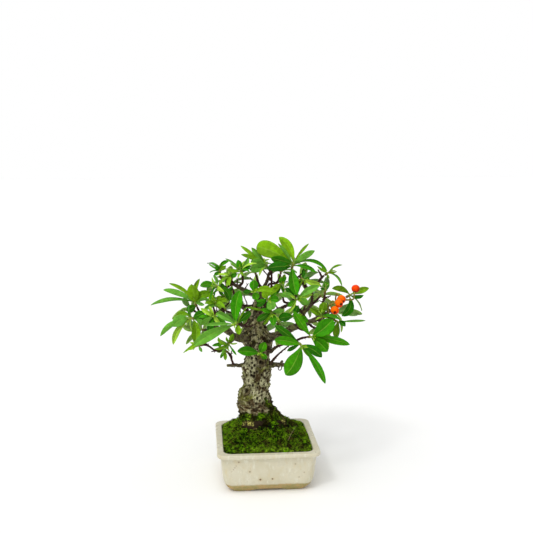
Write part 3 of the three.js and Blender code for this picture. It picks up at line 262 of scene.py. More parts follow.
# Berries: name, place of the middle, radius, the way the crown points as (right, up, to the viewer),
# and the places that the stalk comes from
BERRIES = [
    ("berry_red", (72.0, 153.1, 15), 3.3, (0.3, 0.8, -0.5), [(62.5, 144.2, 3), (70, 144.5, 11)]),
    ("berry_orange_upper", (60.6, 144.6, 12), 3.5, (0.5, -0.7, 0.1), [(57, 139.5, 5.5), (56, 146, 7)]),
    ("berry_orange_middle", (58.6, 141.4, 18.8), 3.4, (0.85, -0.27, 0.45),
     [(53.5, 136.5, 7.5), (52, 140.5, 14)]),
    ("berry_orange_lower", (55.5, 135.9, 22.6), 3.3, (-0.1, -0.85, 0.5), [(50, 133.7, 10), (51, 140, 17)]),
]
STALK_RADIUS = 0.6
BERRY_LENGTH = 0.94
BERRY_DIMPLE = 0.78
BERRY_SIDES = 36
BERRY_RINGS = 25
BERRY_POLE = 0.04
BERRY_LOBES = 5
BERRY_LOBE_RISE = 0.015
# How deep and how wide the dimples are at the stalk and at the crown
STALK_DIMPLE = (0.17, 0.34)
CROWN_DIMPLE = (0.12, 0.3)
CROWN_TILT = 1.1
SEPALS = 5
# How far out, how wide and how high each ring of a sepal is, in berry radii
SEPAL_RINGS = [(0.04, 0.1, 0.02), (0.15, 0.1, 0.07), (0.26, 0.03, 0.12)]
SEPAL_THICKNESS = 0.035

# Shoots: name, place, aim as (right, up, to the viewer), number of small leaves that grow round it
# besides, their size, the tone of each leaf, and the leaves. A leaf is (tip x, tip z, depth, width,
# turn in degrees about its own length, bow to its left), where zeros at the end are left out.
SHOOTS = [
    ("far_left", (-55, 143, 1), (-0.35, 0.9, 0.1), 1, 1, "gglllygdg", [
        (-90, 142.5, -2, 4.2, 35, -2.5), (-80, 154.5, 0, 5, 15, -1.5), (-75.5, 159.5, -4, 3.4, 30, -2),
        (-58, 158.7, 5, 9.5), (-51.5, 163, -7, 4, 20, 3), (-41.5, 150.5, 6, 7, 5, 4),
        (-42.5, 146, 10, 2.6, 20, 3), (-62.3, 137.2, 5, 6.2), (-48, 142, 8, 3, 10)]),
    ("left_low", (-58, 131.5, 10), (-0.9, 0.1, 0.3), 1, 1, "ggpydyg", [
        (-73, 125, 15, 8.8, 5, -2), (-83, 117.5, 8, 4.6, 20, -3), (-73, 110.5, 13, 4.8, 10, -3),
        (-70.5, 133.6, 3, 3.8, 20, -2.5), (-48.3, 136.3, 13, 6.2), (-56, 110.8, 16, 7.4, 5, 2),
        (-46, 127, 16, 4, 20)]),
    ("left_front", (-23, 126, 36), (-0.3, 0.2, 0.9), 0, 1, "bglggdyl", [
        (-20.3, 153, 34, 8.8, 0, 1.6), (-57, 109.5, 32, 8, 5, -1.5), (-65.5, 103.5, 24, 3, 20, -1),
        (-48, 125.7, 40, 3.2, 30), (-39, 135.5, 32, 5.2, 5, -0.5), (-11.5, 135.7, 28, 5.2, 5, 0.5),
        (-15, 139.5, 32, 1.6, 10, 0.5), (-21, 117.5, 40, 5)]),
    ("on_trunk", (-4.6, 102, 14), (0, 0.1, 1), 0, 1, "bbb", [
        (-22.5, 104, 18, 7.6, 0, -0.8), (-0.3, 111, 17, 6.6), (1.2, 97.4, 17, 4.2)]),
    ("right_front", (28, 108.5, 42), (0.3, -0.1, 1), 0, 1, "bbdbddy", [
        (7, 112.7, 44, 7.2, 0, -1), (16.5, 82.5, 46, 12.5, 0, 2), (45.5, 97.5, 46, 6.8, 0, 1.5),
        (48.5, 75.5, 42, 5.8, 15, 2.5), (7.5, 124.5, 36, 5.6, 10), (17.3, 103.3, 38, 3.2),
        (34.5, 98.5, 40, 1.6)]),
    ("right_mid", (35.5, 114.5, 32), (0.5, 0.2, 0.8), 0, 1, "bbbb", [
        (54, 128.5, 34, 12.5, 0, -1), (22.3, 135.5, 30, 6.2), (50, 102, 36, 9, 0, 1),
        (68, 107.5, 32, 6.2, 10, 1.5)]),
    ("berry", (66.5, 147.5, 4), (0.8, 0.5, 0.1), 1, 1, "loddd", [
        (83, 153.5, 8, 5.2, 5, 0.5), (53, 153.5, 4, 4.8, 0, -2.2), (78.5, 147.7, 11, 3.6, 20, -1),
        (61, 131.2, 5, 6.4, 0, 4.2), (51, 146, -5, 6, 10)]),
    ("right_low", (57, 127, 16), (0.7, -0.3, 0.4), 1, 1, "gdob", [
        (80.5, 127, 18, 2.4, 30, 0.8), (64, 122.5, 22, 4.2, 0, 1), (56, 113.3, 22, 5),
        (49, 121, 20, 4, 10)]),
    ("right_olive", (45, 130.5, 22), (-0.1, 0.8, 0.5), 2, 1, "oo", [
        (46.6, 142.8, 22, 6.6), (35.5, 138, 22, 4.4)]),
    ("right_top", (49, 165.8, -3), (0.8, 0.55, 0), 0, 1, "yygyyy", [
        (61, 172.4, -2, 2, 20, 2), (56, 166.6, 3, 1.8, 10), (61, 155, 3, 2.2, 20, 3.2),
        (41, 171.6, 1, 2.2, 10, 0.5), (44.5, 170.6, -8, 1.8, 10, -0.5), (50.7, 161.6, 1, 2)]),
    ("top", (21.5, 172.6, 9), (0.2, 0.95, 0.2), 1, 1, "lglgbbbddl", [
        (10.5, 195.3, 5, 8.8, 0, -3), (9.8, 190, 10, 3.6, 30), (34.2, 189.7, 3, 2.6, 30, 1.5),
        (39, 184, 13, 5.4, 5, 1), (49, 167.5, 5, 3, 15, 6.6), (40, 166.8, 15, 3.6, 15, 2.5),
        (24.8, 148.6, 20, 8.4, 0, -1), (1, 170.4, 23, 7.6, 0, -1), (4, 178.6, 15, 7),
        (-7, 185.6, 1, 11.5, 0, -5)]),
    ("top_left", (1.5, 171.5, 2), (-0.5, 0.75, 0.3), 2, 1, "gggly", [
        (-11.7, 176.5, 8, 7.4), (-12.5, 169.3, 10, 6.4), (-11, 187, -4, 4.4), (-19.6, 188.6, -8, 3.2, 10),
        (-19.2, 181.6, -2, 3.8, 15, -1.4)]),
    ("left_top", (-36, 168.3, -8), (-0.1, 1, 0), 1, 1, "bbygb", [
        (-28.5, 176.6, -8, 3.2, 5, 2), (-39.3, 173, -5, 4.2), (-31, 173, -3, 3.4),
        (-44.5, 174.5, -11, 1.6, 10), (-40.5, 165.4, -2, 3, 10)]),
    ("left_arch", (-37.5, 156.5, 13), (-0.8, 0.3, 0.5), 1, 1, "dbgb", [
        (-28.3, 144.5, 16, 5.4, 5, 3.4), (-51.3, 157, 12, 5.4, 5, -1.6), (-41, 165.4, 4, 2.8, 20, -1),
        (-33.5, 149, 8, 3, 10)]),
    ("left_lime", (-38.5, 142.3, 14), (-0.4, 0.7, 0.5), 1, 1, "llygl", [
        (-30, 145.2, 18, 3.6, 0, 1), (-35.5, 149.2, 12, 4.2), (-48, 143.2, 16, 2.8, 15, -0.8),
        (-48.3, 138.8, 12, 3.6, 5), (-44.5, 151, 9, 4.8)]),
    ("left_inner", (-40.5, 133, 20), (-0.3, 0.3, 0.9), 3, 1, "gbd", [
        (-52, 126, 23, 4, 5), (-31.5, 127.5, 24, 3.6, 5), (-45.5, 119.5, 22, 5)]),
    ("low_left", (-29, 111, 15), (-0.3, -0.5, 0.8), 1, 1, "gbgyb", [
        (-34.6, 101.3, 16, 2.6, 5, -0.5), (-23.2, 100.8, 14, 1.8, 10), (-38.3, 113.8, 18, 3.4, 5, 1),
        (-25.5, 118.3, 18, 3.8), (-42.5, 109, 12, 3, 10)]),
    ("low_tip", (-52, 109.4, 10.5), (-0.95, -0.1, 0.2), 0, 1, "pgp", [
        (-60, 105.8, 11, 2.4, 10, -0.5), (-50.5, 104, 15, 2.4), (-60, 112, 12, 2.2, 10)]),
    ("stub_twig", (-31.8, 104.6, 4), (-0.7, 0.6, 0.2), 0, 1, "yby", [
        (-38.8, 103.8, 5, 2.8), (-36, 98.6, 6, 2.4), (-32, 96.8, 7, 3)]),
    ("upper_left", (-19, 167.6, 8), (-0.3, 0.9, 0.3), 3, 1, "gbgyd", [
        (-13.6, 179, 3, 3.6, 0, -1), (-21.7, 177.4, 8, 4.8), (-31.6, 178.6, 0, 1.8, 15, -1),
        (-30, 169.7, 8, 3, 5), (-11.5, 173, 12, 3.2)]),
    ("upper_left_low", (-27.5, 163.3, 6), (-0.3, 0.8, 0.5), 3, 1, "yb", [
        (-34.5, 161.5, 10, 3.6, 5), (-22, 166.5, 12, 3.8, 5)]),
    ("left_fork", (-31, 151.5, 4), (-0.1, -0.8, 0.6), 3, 1, "bd", [
        (-26, 156.5, 12, 3.2), (-35, 159.5, 14, 4)]),
    ("red_stalk", (-9.5, 151.8, 24), (0, 0.2, 1), 0, 1, "blbd", [
        (-9.2, 161.3, 25, 7), (6, 151.8, 27, 5.2, 0, 2), (-6.4, 145.4, 27, 6),
        (-17.5, 151.5, 22, 3.4, 0, -0.5)]),
    ("centre", (1.5, 145.5, 26), (0.2, 0.1, 1), 0, 1, "gbld", [
        (6.6, 137.6, 29, 7.5), (10.5, 145, 27, 5.6, 0, 0.5), (-2, 152.5, 30, 5), (-7, 140.5, 22, 4.4)]),
    ("centre_low", (4.5, 135.5, 22), (0, -0.3, 1), 0, 1, "bgbdy", [
        (-3.2, 138.3, 24, 3.4), (14.5, 136.2, 24, 4, 0, 0.5), (6, 124.3, 28, 5.4, 0, 0.8),
        (-7, 128.4, 22, 5), (-16, 139.7, 18, 1.8)]),
    ("centre_right", (22.5, 131.5, 20), (0.1, 0, 1), 1, 1, "dbd", [
        (10.3, 129.6, 23, 7, 0, -0.8), (34, 126.5, 22, 4.8, 0, 1), (26, 140.5, 22, 4.6)]),
    ("right_grey", (24.5, 145, 16), (0.3, 0.3, 0.9), 1, 1, "gggbd", [
        (34, 141.2, 20, 5.8, 0, 0.6), (11, 148.6, 18, 4.4, 0, -1.8), (43, 155.8, 16, 5.8, 0, 1.2),
        (17.5, 139.5, 20, 4), (16, 155, 10, 4)]),
    ("oval", (47.5, 151.6, 6), (0.1, 1, 0), 0, 1, "bd", [
        (48.6, 159, 6, 4.8), (43.6, 153.8, 8, 1.8)]),
    ("twig_end", (29.2, 161.5, 10), (0.3, -0.2, 1), 1, 1, "bdb", [
        (35, 161, 9, 3.2, 0, 0.6), (30, 170, 9, 2.8), (21, 158, 10, 3.6)]),
    ("twig_low", (11.5, 157.5, 8), (0.3, 0.4, 0.9), 1, 1, "bdb", [
        (12.6, 162.6, 9, 3.6), (8.6, 149.6, 12, 3.4), (16.5, 163.5, 10, 3)]),
]
# The shoots on the side away from the camera: place, aim, number of small leaves, their size
BACK_SHOOTS = [
    ((-58, 139, -20), (-0.7, 0.4, -0.6), 6, 1.4), ((-44, 148, -30), (-0.4, 0.7, -0.6), 7, 1.4),
    ((-27, 158, -30), (-0.2, 0.8, -0.5), 6, 1.4), ((-8, 168, -26), (-0.1, 0.9, -0.4), 7, 1.4),
    ((12, 168, -24), (0.1, 0.9, -0.4), 6, 1.4), ((28, 158, -32), (0.3, 0.7, -0.6), 7, 1.4),
    ((44, 148, -26), (0.6, 0.5, -0.5), 6, 1.4), ((56, 134, -22), (0.8, 0.2, -0.6), 7, 1.4),
    ((-50, 122, -36), (-0.7, -0.1, -0.7), 7, 1.4), ((-32, 138, -50), (-0.4, 0.3, -0.9), 7, 1.4),
    ((-8, 148, -54), (-0.1, 0.4, -0.9), 6, 1.4), ((14, 150, -52), (0.2, 0.5, -0.8), 6, 1.4),
    ((32, 140, -50), (0.5, 0.3, -0.8), 6, 1.4), ((44, 122, -36), (0.7, 0, -0.7), 6, 1.4),
    ((-18, 124, -46), (-0.3, 0, -1), 7, 1.4), ((10, 126, -48), (0.2, 0.1, -1), 7, 1.4),
    ((-2, 134, -28), (-0.1, 0.6, -0.7), 5, 1.2),
]
SHOOTS += [("back_" + letter, *row, "", []) for letter, row in zip("abcdefghijklmnopq", BACK_SHOOTS)]

# The two leaves at the very top: how much of its solid's width each has, how much of its bow, how
# far its tip rises, and how pointed it is
TRIMMED_LEAVES = {("top", 0): (0.84, 1, 0, 0.75), ("top", 9): (1.12, 0.4, 2.3, 0.48)}

# Leaf blades: share of the length, share of the half width that the plain solid has there
LONG_BLADE = [(0, 0), (0.13, 0.2), (0.36, 0.8), (0.64, 1.0), (0.87, 0.62), (1, 0)]
SHORT_BLADE = [(0, 0), (0.16, 0.26), (0.52, 1.0), (0.83, 0.7), (1, 0)]
SMALL_BLADE = [(0, 0), (0.3, 0.85), (0.68, 0.95), (1, 0)]
LONG_BLADE_FROM = 21
# Points across the upper side of a blade and back across its underside, in half widths
BLADE_TOP = [1, 0.8, 0.45, 0.12, 0, -0.12, -0.45, -0.8, -1]
BLADE_BOTTOM = [-0.7, -0.35, 0, 0.35, 0.7]
BLADE_FOLD = 0.34
BLADE_WAVES = 13
BLADE_WAVE_SIZE = 0.035
BLADE_ARCH = 0.035
BLADE_TWIST = 0.2
# How much one half of a blade is painted brighter than the other, as painted light and shade across its
# fold, and how much its tip is paler than its base
BLADE_FOLD_SHADE = (0.06, 0.24)
BLADE_PALER_TIP = (-0.14, 0.2)
BLADE_THICKNESS = 0.16
# Shares of its length at which a blade has a ring of points
LARGE_STATIONS = [0, 0.05, 0.1, 0.15, 0.21, 0.28, 0.36, 0.45, 0.54, 0.63, 0.72, 0.8, 0.87, 0.93, 0.97,
                  0.99, 1]
SMALL_STATIONS = [0, 0.08, 0.16, 0.26, 0.38, 0.5, 0.62, 0.74, 0.84, 0.92, 0.97, 1]

# How leaves grow and what they keep clear of
SMALL_LEAF_LENGTH = (11, 17)
SMALL_LEAF_SLENDERNESS = 0.27
SHOOT_RADIUS = 1.15
SHOOT_CORE = 0.6
SHOOT_BEHIND = 2.6
SHOOT_AHEAD = 3.2
LEAF_CLEARANCE = 2.1
SAMPLE_STEP = 2.2
WIDE_LEAF_FROM = 5
# How far a leaf moves nearer or further to find room
DEPTH_TRIES = (0, 3, -3, 6, -6, 9, -9, 13, -13)
LEAVES_IN_A_ROW = 8
LEAF_ROW_START = 1.6
SPIRAL_ANGLE = 2.4
SPIRAL_OPENING = 58
SPIRAL_OPENING_MORE = 34
TWIG_LEAVES_BEHIND = 7
FINE_LEAF_CLEARANCE = 1.0
TRIES = 9
TWIG_END = 4.5

# Twigs, buds and side twigs
LIMB_SLIMNESS = 0.8
TWIG_TAPER = 0.6
STUB_GREYNESS = 0.85
# Sides, length of a step and roughness of each kind of wood
WOOD_KINDS = {
    "limb": (16, 0.9, 0.2), "stub": (14, 0.4, 0.4), "bare twig": (10, 0.7, 0.14),
    "leafy twig": (8, 0.9, 0.1), "twiglet": (6, 1.1, 0.1), "shoot": (8, 0.7, 0.12),
    "stalk": (8, 0.7, 0.06), "tendril": (6, 0.4, 0.1), "straw": (6, 0.8, 0.1),
}
# A bud's rings: share of its length, share of its radius
BUD_RINGS = [(-0.3, 0.7), (0.15, 1.0), (0.55, 0.7), (1.0, 0.08)]
BUD_SIDES = 6
# Thorns and spurs: radius, shortest and longest
THORN = (0.28, 1.4, 2.4)
SPUR = (0.42, 0.8, 1.3)
THORN_SHARE = 0.3
SPUR_SPACING = (3.0, 6.5)
TWIGLET_SPACING = 9
TWIGLET_CLEARANCE = 1.0
TWIGLET_LOWEST = 119
TWIGLET_JOINTS = (3, 6)
TWIGLET_STEP = (2.2, 3.8)
TWIGLET_SWAY = 0.45
TWIGLET_THICKEST = 0.65
TWIGLET_THINNEST = 0.35
# The crown as an ellipsoid that no side twig leaves
CROWN_MIDDLE = np.array([-8.0, 3.0, 138.0])
CROWN_REACH = np.array([58.0, 48.0, 34.0])

# Room round the leaves, young leaves and fine leaves
RANDOM_SEED = 20
CELL = 5
OBSTACLE_STEP = 1.5
TRUNK_BALL = 3
TRUNK_BALL_STEP = 2
TRUNK_BALLS_ROUND = 16
YOUNG_LEAVES = 4
YOUNG_LEAF_LENGTH = (3.5, 6)
YOUNG_LEAF_SLENDERNESS = (0.22, 0.32)
YOUNG_LEAF_TONES = "lp"
SMALL_LEAF_TONES = "bpgypl"
FINE_LEAF_TONES = "bpylp"
FINE_LEAF_LENGTH = (7, 12)
FINE_LEAF_START = 11
FINE_LEAVES_FRONT = 3
FINE_LEAVES_BACK = 1
NO_FINE_LEAVES = (
    "on_trunk", "right_front", "right_mid", "stub_twig", "low_tip", "berry", "far_left", "right_top",
    "oval", "red_stalk", "left_front", "right_low",
)

# Colours
# The pale grey green g is partly the leaves' own colour and partly a painted sheen
LEAF_TONES = {
    "g": rgb(94, 154, 52), "b": rgb(47, 134, 2), "d": rgb(20, 100, 3),
    "l": rgb(118, 166, 16), "y": rgb(106, 156, 16), "o": rgb(84, 124, 8), "p": rgb(158, 200, 62),
}
LEAF_UNDERSIDE = rgb(140, 166, 104)
PETIOLE_TONE = rgb(150, 160, 70)
MIDRIB_TONE = rgb(150, 188, 70)
VEIN_TONE = rgb(120, 170, 50)
YOUNG_WOOD = rgb(104, 84, 48)
TWIG_TONE = rgb(66, 42, 38)
LIMB_TONE = rgb(106, 98, 76)
STALK_TONE = rgb(140, 130, 60)
BUD_TONE = rgb(150, 110, 60)
BARK_PLATE = rgb(200, 197, 156)
BARK_BROWN = rgb(72, 57, 33)
# The dark tone of the bark's pits and cracks, also used on the trunk as a painted shadow and as painted
# shade
BARK_PIT_AND_SHADOW = rgb(36, 26, 15)
BARK_ALGAE = rgb(124, 128, 60)
BARK_HIGH = rgb(158, 148, 112)
BARK_FOLD = rgb(124, 114, 82)
BARK_RUST = rgb(98, 70, 44)
ROOT_BROWN = rgb(46, 36, 25)
LICHEN = rgb(200, 196, 104)
MOSS_DARK = rgb(18, 34, 3)
MOSS_MID = rgb(46, 90, 5)
MOSS_BRIGHT = rgb(112, 162, 16)
MOSS_BROWN = rgb(58, 44, 20)
MOSS_YELLOW = rgb(128, 142, 44)
STRAW_TONE = rgb(150, 140, 104)
# Patches of the bark that the camera sees: x, z, half width, half height, share, tone
BARK_PATCHES_SEEN = [
    (-11.0, 92.3, 4.4, 8.0, 0.9, BARK_PLATE), (-12.8, 78.0, 4.2, 4.8, 0.9, BARK_PLATE),
    (-9.0, 71.0, 3.2, 3.2, 0.9, BARK_PLATE), (-3.0, 64.7, 6.4, 4.2, 0.95, BARK_PLATE),
    (-2.0, 78.0, 2.8, 3.8, 0.9, BARK_PLATE), (-4.0, 88.5, 2.4, 3.2, 0.8, BARK_ALGAE),
    (-7.2, 79.0, 2.2, 9.5, 0.8, BARK_BROWN), (-5.0, 88.0, 1.8, 5.0, 0.7, BARK_BROWN),
    (1.5, 59.5, 6.0, 2.4, 0.8, BARK_BROWN), (-19.0, 68.5, 3.6, 9.5, 0.5, BARK_ALGAE),
    # The dark patch at x 2.4, z 112 is a painted shadow under the limb that leaves the trunk there, and the
    # one at x -5, z 109.4 is painted shade in a hollow
    (-15.5, 71.3, 1.8, 2.2, 0.9, BARK_PIT_AND_SHADOW), (2.4, 112.0, 5.6, 1.5, 0.9, BARK_PIT_AND_SHADOW),
    (-5.0, 109.4, 1.5, 1.5, 0.9, BARK_PIT_AND_SHADOW),
]
# The berries' skin as painted shade on the side away from the key light, and as painted light on the side
# toward it
BERRY_TONES = {"red": (rgb(128, 6, 0), rgb(244, 68, 4)), "orange": (rgb(222, 46, 0), rgb(255, 108, 3))}
BERRY_END = rgb(120, 48, 12)
CROWN_TONE = rgb(56, 32, 16)
GLAZE = rgb(210, 204, 180)
GLAZE_THIN = rgb(201, 194, 166)
GLAZE_STAIN = rgb(198, 180, 138)
GLAZE_RUN = rgb(206, 192, 152)
GLAZE_BLOOM = rgb(224, 222, 206)
GLAZE_HOLE = rgb(96, 68, 32)
CLAY = rgb(176, 148, 92)
CLAY_DARK = rgb(148, 140, 80)
CLAY_PALE = rgb(206, 182, 146)
POT_TONE = rgb(224, 218, 200)
SOIL_DARK = rgb(40, 28, 18)
SOIL_PALE = rgb(98, 72, 48)

# Grain, noise and veins in the materials
SOIL_GRAIN = 1.6
NOISE_ROUGHNESS = 0.6
SIDE_VEINS = 11
SIDE_VEIN_SLANT = 5


# Helpers


def mix(a, b, share):
    share = np.asarray(share, float)[..., None]
    return np.asarray(a) * (1 - share) + np.asarray(b) * share


def smooth(low, high, value):
    t = np.clip((np.asarray(value, float) - low) / (high - low), 0, 1)
    return t * t * (3 - 2 * t)


def unit(vector):
    vector = np.asarray(vector, float)
    return vector / np.linalg.norm(vector)


def rotated(vector, axis, angle):
    return np.array(Quaternion(Vector(axis), angle) @ Vector(vector))


def sideways(direction, steep=0.9):
    """Two ways square to a direction and to each other"""
    side = unit(np.cross(direction, UP if abs(direction[2]) < steep else RIGHT))
    return side, np.cross(direction, side)


def ring_round(middle, side, other, radii):
    """Points round a middle, one for each radius"""
    turns = np.arange(len(radii))[:, None] / len(radii) * TURN
    return middle + (side * np.cos(turns) + other * np.sin(turns)) * np.asarray(radii)[:, None]


def many(chance, count, low=0.0, high=1.0):
    """Random numbers between two, drawn one after the other"""
    return np.array([chance.uniform(low, high) for _ in range(count)])


def any_way(chance, lowest=-1):
    """A random way in a cube, cut off below lowest"""
    return np.array([*many(chance, 2, -1, 1), chance.uniform(lowest, 1)])


def way(right, up, near):
    """A direction named as right, up and to the viewer"""
    return unit([right, -near, up])


def place(x, z, depth):
    share = 1 - depth / -VIEWPOINT[1]
    return VIEWPOINT + (np.array([x, 0.0, z]) - VIEWPOINT) * share


def noise_at(points, size, octaves=3, seed=0):
    """Noise from about -1 to 1 whose lumps are about size millimetres"""
    offset = Vector((17.3, 5.1, 31.7)) * seed
    flat = np.asarray(points, float).reshape(-1, 3) / size
    values = [noise.fractal(Vector(p) + offset, 1.0, 2.0, octaves) for p in flat]
    return np.array(values).reshape(np.asarray(points).shape[:-1])


# Curves through points


class Curve:
    """A centripetal curve through points, with a radius at each"""

    def __init__(self, points, radii):
        self.points = [np.asarray(point, float) for point in points]
        first, second, *_ = self.points
        *_, before_last, last = self.points
        self.guides = [2 * first - second, *self.points, 2 * last - before_last]
        self.radii = list(radii)

    def point(self, t):
        scaled = t * (len(self.points) - 1)
        i = min(len(self.points) - 2, int(scaled))
        return centripetal(*self.guides[i:i + 4], scaled - i)

    def radius(self, t):
        return float(np.interp(t * (len(self.radii) - 1), range(len(self.radii)), self.radii))

    def length(self):
        along = np.array([self.point(i / 200) for i in range(201)])
        return float(np.linalg.norm(np.diff(along, axis=0), axis=1).sum())


def centripetal(p0, p1, p2, p3, t):
    d0 = np.dot(p1 - p0, p1 - p0) ** 0.25
    d1 = np.dot(p2 - p1, p2 - p1) ** 0.25
    d2 = np.dot(p3 - p2, p3 - p2) ** 0.25
    start = ((p1 - p0) / d0 - (p2 - p0) / (d0 + d1) + (p2 - p1) / d1) * d1
    end = ((p2 - p1) / d1 - (p3 - p1) / (d1 + d2) + (p3 - p2) / d2) * d1
    c2 = -3 * p1 + 3 * p2 - 2 * start - end
    c3 = 2 * p1 - 2 * p2 + start + end
    return p1 + start * t + c2 * t ** 2 + c3 * t ** 3


def curve_of(rows):
    return Curve([place(x, z, depth) for x, z, depth, _ in rows], [row[3] for row in rows])


# Forms: points, faces and point colours


class Form:
    """The mesh of a piece while it is put together, in millimetres"""

    def __init__(self):
        self.points = []
        self.faces = []
        self.colors = []
        self.places = []
        self.count = 0

    def add(self, points, faces, colors, places=None):
        points = np.asarray(points, float).reshape(-1, 3)
        self.faces.extend([[i + self.count for i in face] for face in faces])
        self.points.append(points)
        self.colors.append(np.broadcast_to(colors, (len(points), 3)))
        self.places.append(np.zeros((len(points), 2)) if places is None else places)
        self.count += len(points)

    def add_rings(self, rings, colors, places=None, ends=True):
        """Rings of points from one end to the other, each closed round"""
        rings = np.asarray(rings, float)
        levels, sides = rings.shape[:2]
        faces = ring_faces(levels, sides)
        if ends:
            faces.append(list(range(sides))[::-1])
            faces.append([(levels - 1) * sides + i for i in range(sides)])
        colors = np.broadcast_to(colors, rings.shape).reshape(-1, 3)
        self.add(rings, faces, colors, places)

    def in_frame(self):
        return np.vstack(self.points) * MM + FRAME_SHIFT


def ring_faces(levels, sides):
    start = np.arange(levels - 1)[:, None] * sides + np.arange(sides)[None, :]
    after = np.arange(levels - 1)[:, None] * sides + (np.arange(sides)[None, :] + 1) % sides
    return np.stack([start, after, after + sides, start + sides], axis=-1).reshape(-1, 4).tolist()


def add_object(name, data):
    added = bpy.data.objects.new(name, data)
    bpy.context.scene.collection.objects.link(added)
    return added


def add_mesh(name, points, faces):
    """A mesh object in the scene, from points in metres"""
    mesh = bpy.data.meshes.new(name)
    mesh.from_pydata(np.asarray(points).tolist(), [], faces)
    return add_object(name, mesh)


def make_piece(name, form, material, nodes):
    piece = add_mesh(name, form.in_frame(), form.faces)
    mesh = piece.data
    colors = np.hstack([np.vstack(form.colors), np.ones((form.count, 1))])
    tint = mesh.attributes.new("tint", "FLOAT_COLOR", "POINT")
    tint.data.foreach_set("color", colors.astype(np.float32).ravel())
    corners = np.zeros(len(mesh.loops), np.int32)
    mesh.loops.foreach_get("vertex_index", corners)
    layer = mesh.uv_layers.new(name="blade")
    layer.data.foreach_set("uv", np.vstack(form.places)[corners].astype(np.float32).ravel())
    mesh.polygons.foreach_set("use_smooth", np.ones(len(mesh.polygons), bool))
    mesh.materials.append(material)
    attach(piece, "root")
    if nodes:
        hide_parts(*nodes)
    return piece


# Materials


def feed(socket, value):
    """Links a socket to another, or sets its value"""
    if isinstance(value, bpy.types.NodeSocket):
        socket.id_data.links.new(value, socket)
    else:
        socket.default_value = value


def add_node(tree, kind, inputs=(), **settings):
    made = tree.nodes.new(kind)
    for key, value in settings.items():
        setattr(made, key, value)
    for key, value in dict(inputs).items():
        feed(made.inputs[key], value)
    return made


class Shader:
    """A material with one Principled shader, and short calls for the nodes that feed it"""

    def __init__(self, name, **sockets):
        self.material = bpy.data.materials.new(name)
        self.material.use_nodes = True
        self.tree = self.material.node_tree
        self.principled = self.tree.nodes["Principled BSDF"]
        for socket, value in sockets.items():
            self.principled.inputs[socket.replace("_", " ")].default_value = value

    def node(self, kind, inputs=(), **settings):
        return add_node(self.tree, kind, inputs, **settings)

    def tint(self):
        return self.node("ShaderNodeVertexColor", layer_name="tint").outputs["Color"]

    def place(self):
        return self.node("ShaderNodeTexCoord").outputs["Object"]

    def noise(self, size, detail=3.0, stretch=(1, 1, 1)):
        """Noise from 0 to 1 whose lumps are about size millimetres"""
        scaled = self.node("ShaderNodeMapping", {"Vector": self.place(), "Scale": stretch}).outputs[0]
        made = self.node("ShaderNodeTexNoise", {
            "Vector": scaled, "Scale": 1 / (size * MM), "Detail": detail, "Roughness": NOISE_ROUGHNESS})
        return made.outputs["Fac"]

    def cells(self, size):
        """Cells about size millimetres wide, with the way to the middle of each"""
        return self.node("ShaderNodeTexVoronoi", {"Vector": self.place(), "Scale": 1 / (size * MM)})

    def math(self, operation, *values):
        return self.node("ShaderNodeMath", enumerate(values), operation=operation).outputs[0]

    def ramp(self, value, low, high, out_low=0.0, out_high=1.0):
        limits = {"From Min": low, "From Max": high, "To Min": out_low, "To Max": out_high}
        made = self.node("ShaderNodeMapRange", {"Value": value, **limits}, interpolation_type="SMOOTHSTEP")
        return made.outputs["Result"]

    def sum(self, *terms):
        """The sum of values, each with its weight"""
        total = 0.0
        for weight, value in terms:
            total = self.math("MULTIPLY_ADD", value, weight, total)
        return total

    def times(self, a, b):
        return self.math("MULTIPLY", a, b)

    def blend(self, share, a, b, kind="MIX"):
        made = self.node("ShaderNodeMix", {0: share, 6: a, 7: b}, data_type="RGBA", blend_type=kind)
        return made.outputs[2]

    def brighten(self, color, value, low, high, darkest, brightest):
        """The colour, darker where a value is low and brighter where it is high"""
        factor = self.ramp(value, low, high, darkest, brightest)
        grey = self.node("ShaderNodeCombineColor", {"Red": factor, "Green": factor, "Blue": factor})
        return self.blend(1.0, color, grey.outputs[0], "MULTIPLY")

    def finish(self, color, roughness, height=None, depth=0.1, strength=1.0):
        """Links colour, roughness and a bump of that depth in millimetres"""
        feed(self.principled.inputs["Base Color"], color)
        feed(self.principled.inputs["Roughness"], roughness)
        if height is not None:
            settings = {"Height": height, "Distance": depth * MM, "Strength": strength}
            feed(self.principled.inputs["Normal"], self.node("ShaderNodeBump", settings).outputs[0])
        return self.material


def solid(tone):
    return (*tone, 1.0)


def leaf_material():
    """Satin leaf with a pale midrib, faint side veins and soft mottling"""
    shader = Shader("firethorn_leaf", Specular_IOR_Level=0.3, IOR=1.35, Specular_Tint=(0.6, 1.0, 0.3, 1.0),
                    Subsurface_Weight=0.15, Subsurface_Scale=0.0007, Subsurface_Radius=(0.7, 1.0, 0.25))
    place_on_blade = shader.node("ShaderNodeUVMap", uv_map="blade").outputs[0]
    parts = shader.node("ShaderNodeSeparateXYZ", {0: place_on_blade})
    across = shader.math("ABSOLUTE", shader.math("SUBTRACT", parts.outputs[0], 0.5))
    slant = shader.sum((SIDE_VEINS, parts.outputs[1]), (-SIDE_VEIN_SLANT, across))
    ripple = shader.math("ABSOLUTE", shader.math("SINE", shader.times(slant, math.pi)))
    midrib = shader.ramp(across, 0.05, 0.015)
    veins = shader.times(shader.ramp(ripple, 0.25, 0.0), shader.ramp(across, 0.5, 0.3))
    mottle = shader.noise(2.6)
    grain = shader.noise(0.35, detail=2.0)
    color = shader.brighten(shader.tint(), mottle, 0.3, 0.7, 0.8, 1.16)
    color = shader.blend(shader.times(midrib, 0.34), color, solid(MIDRIB_TONE))
    color = shader.blend(shader.times(veins, 0.2), color, solid(VEIN_TONE))
    height = shader.sum((0.25, grain), (0.5, mottle), (-0.35, veins), (-0.5, midrib))
    return shader.finish(color, shader.ramp(grain, 0.2, 0.8, 0.3, 0.44), height, depth=0.22, strength=0.7)


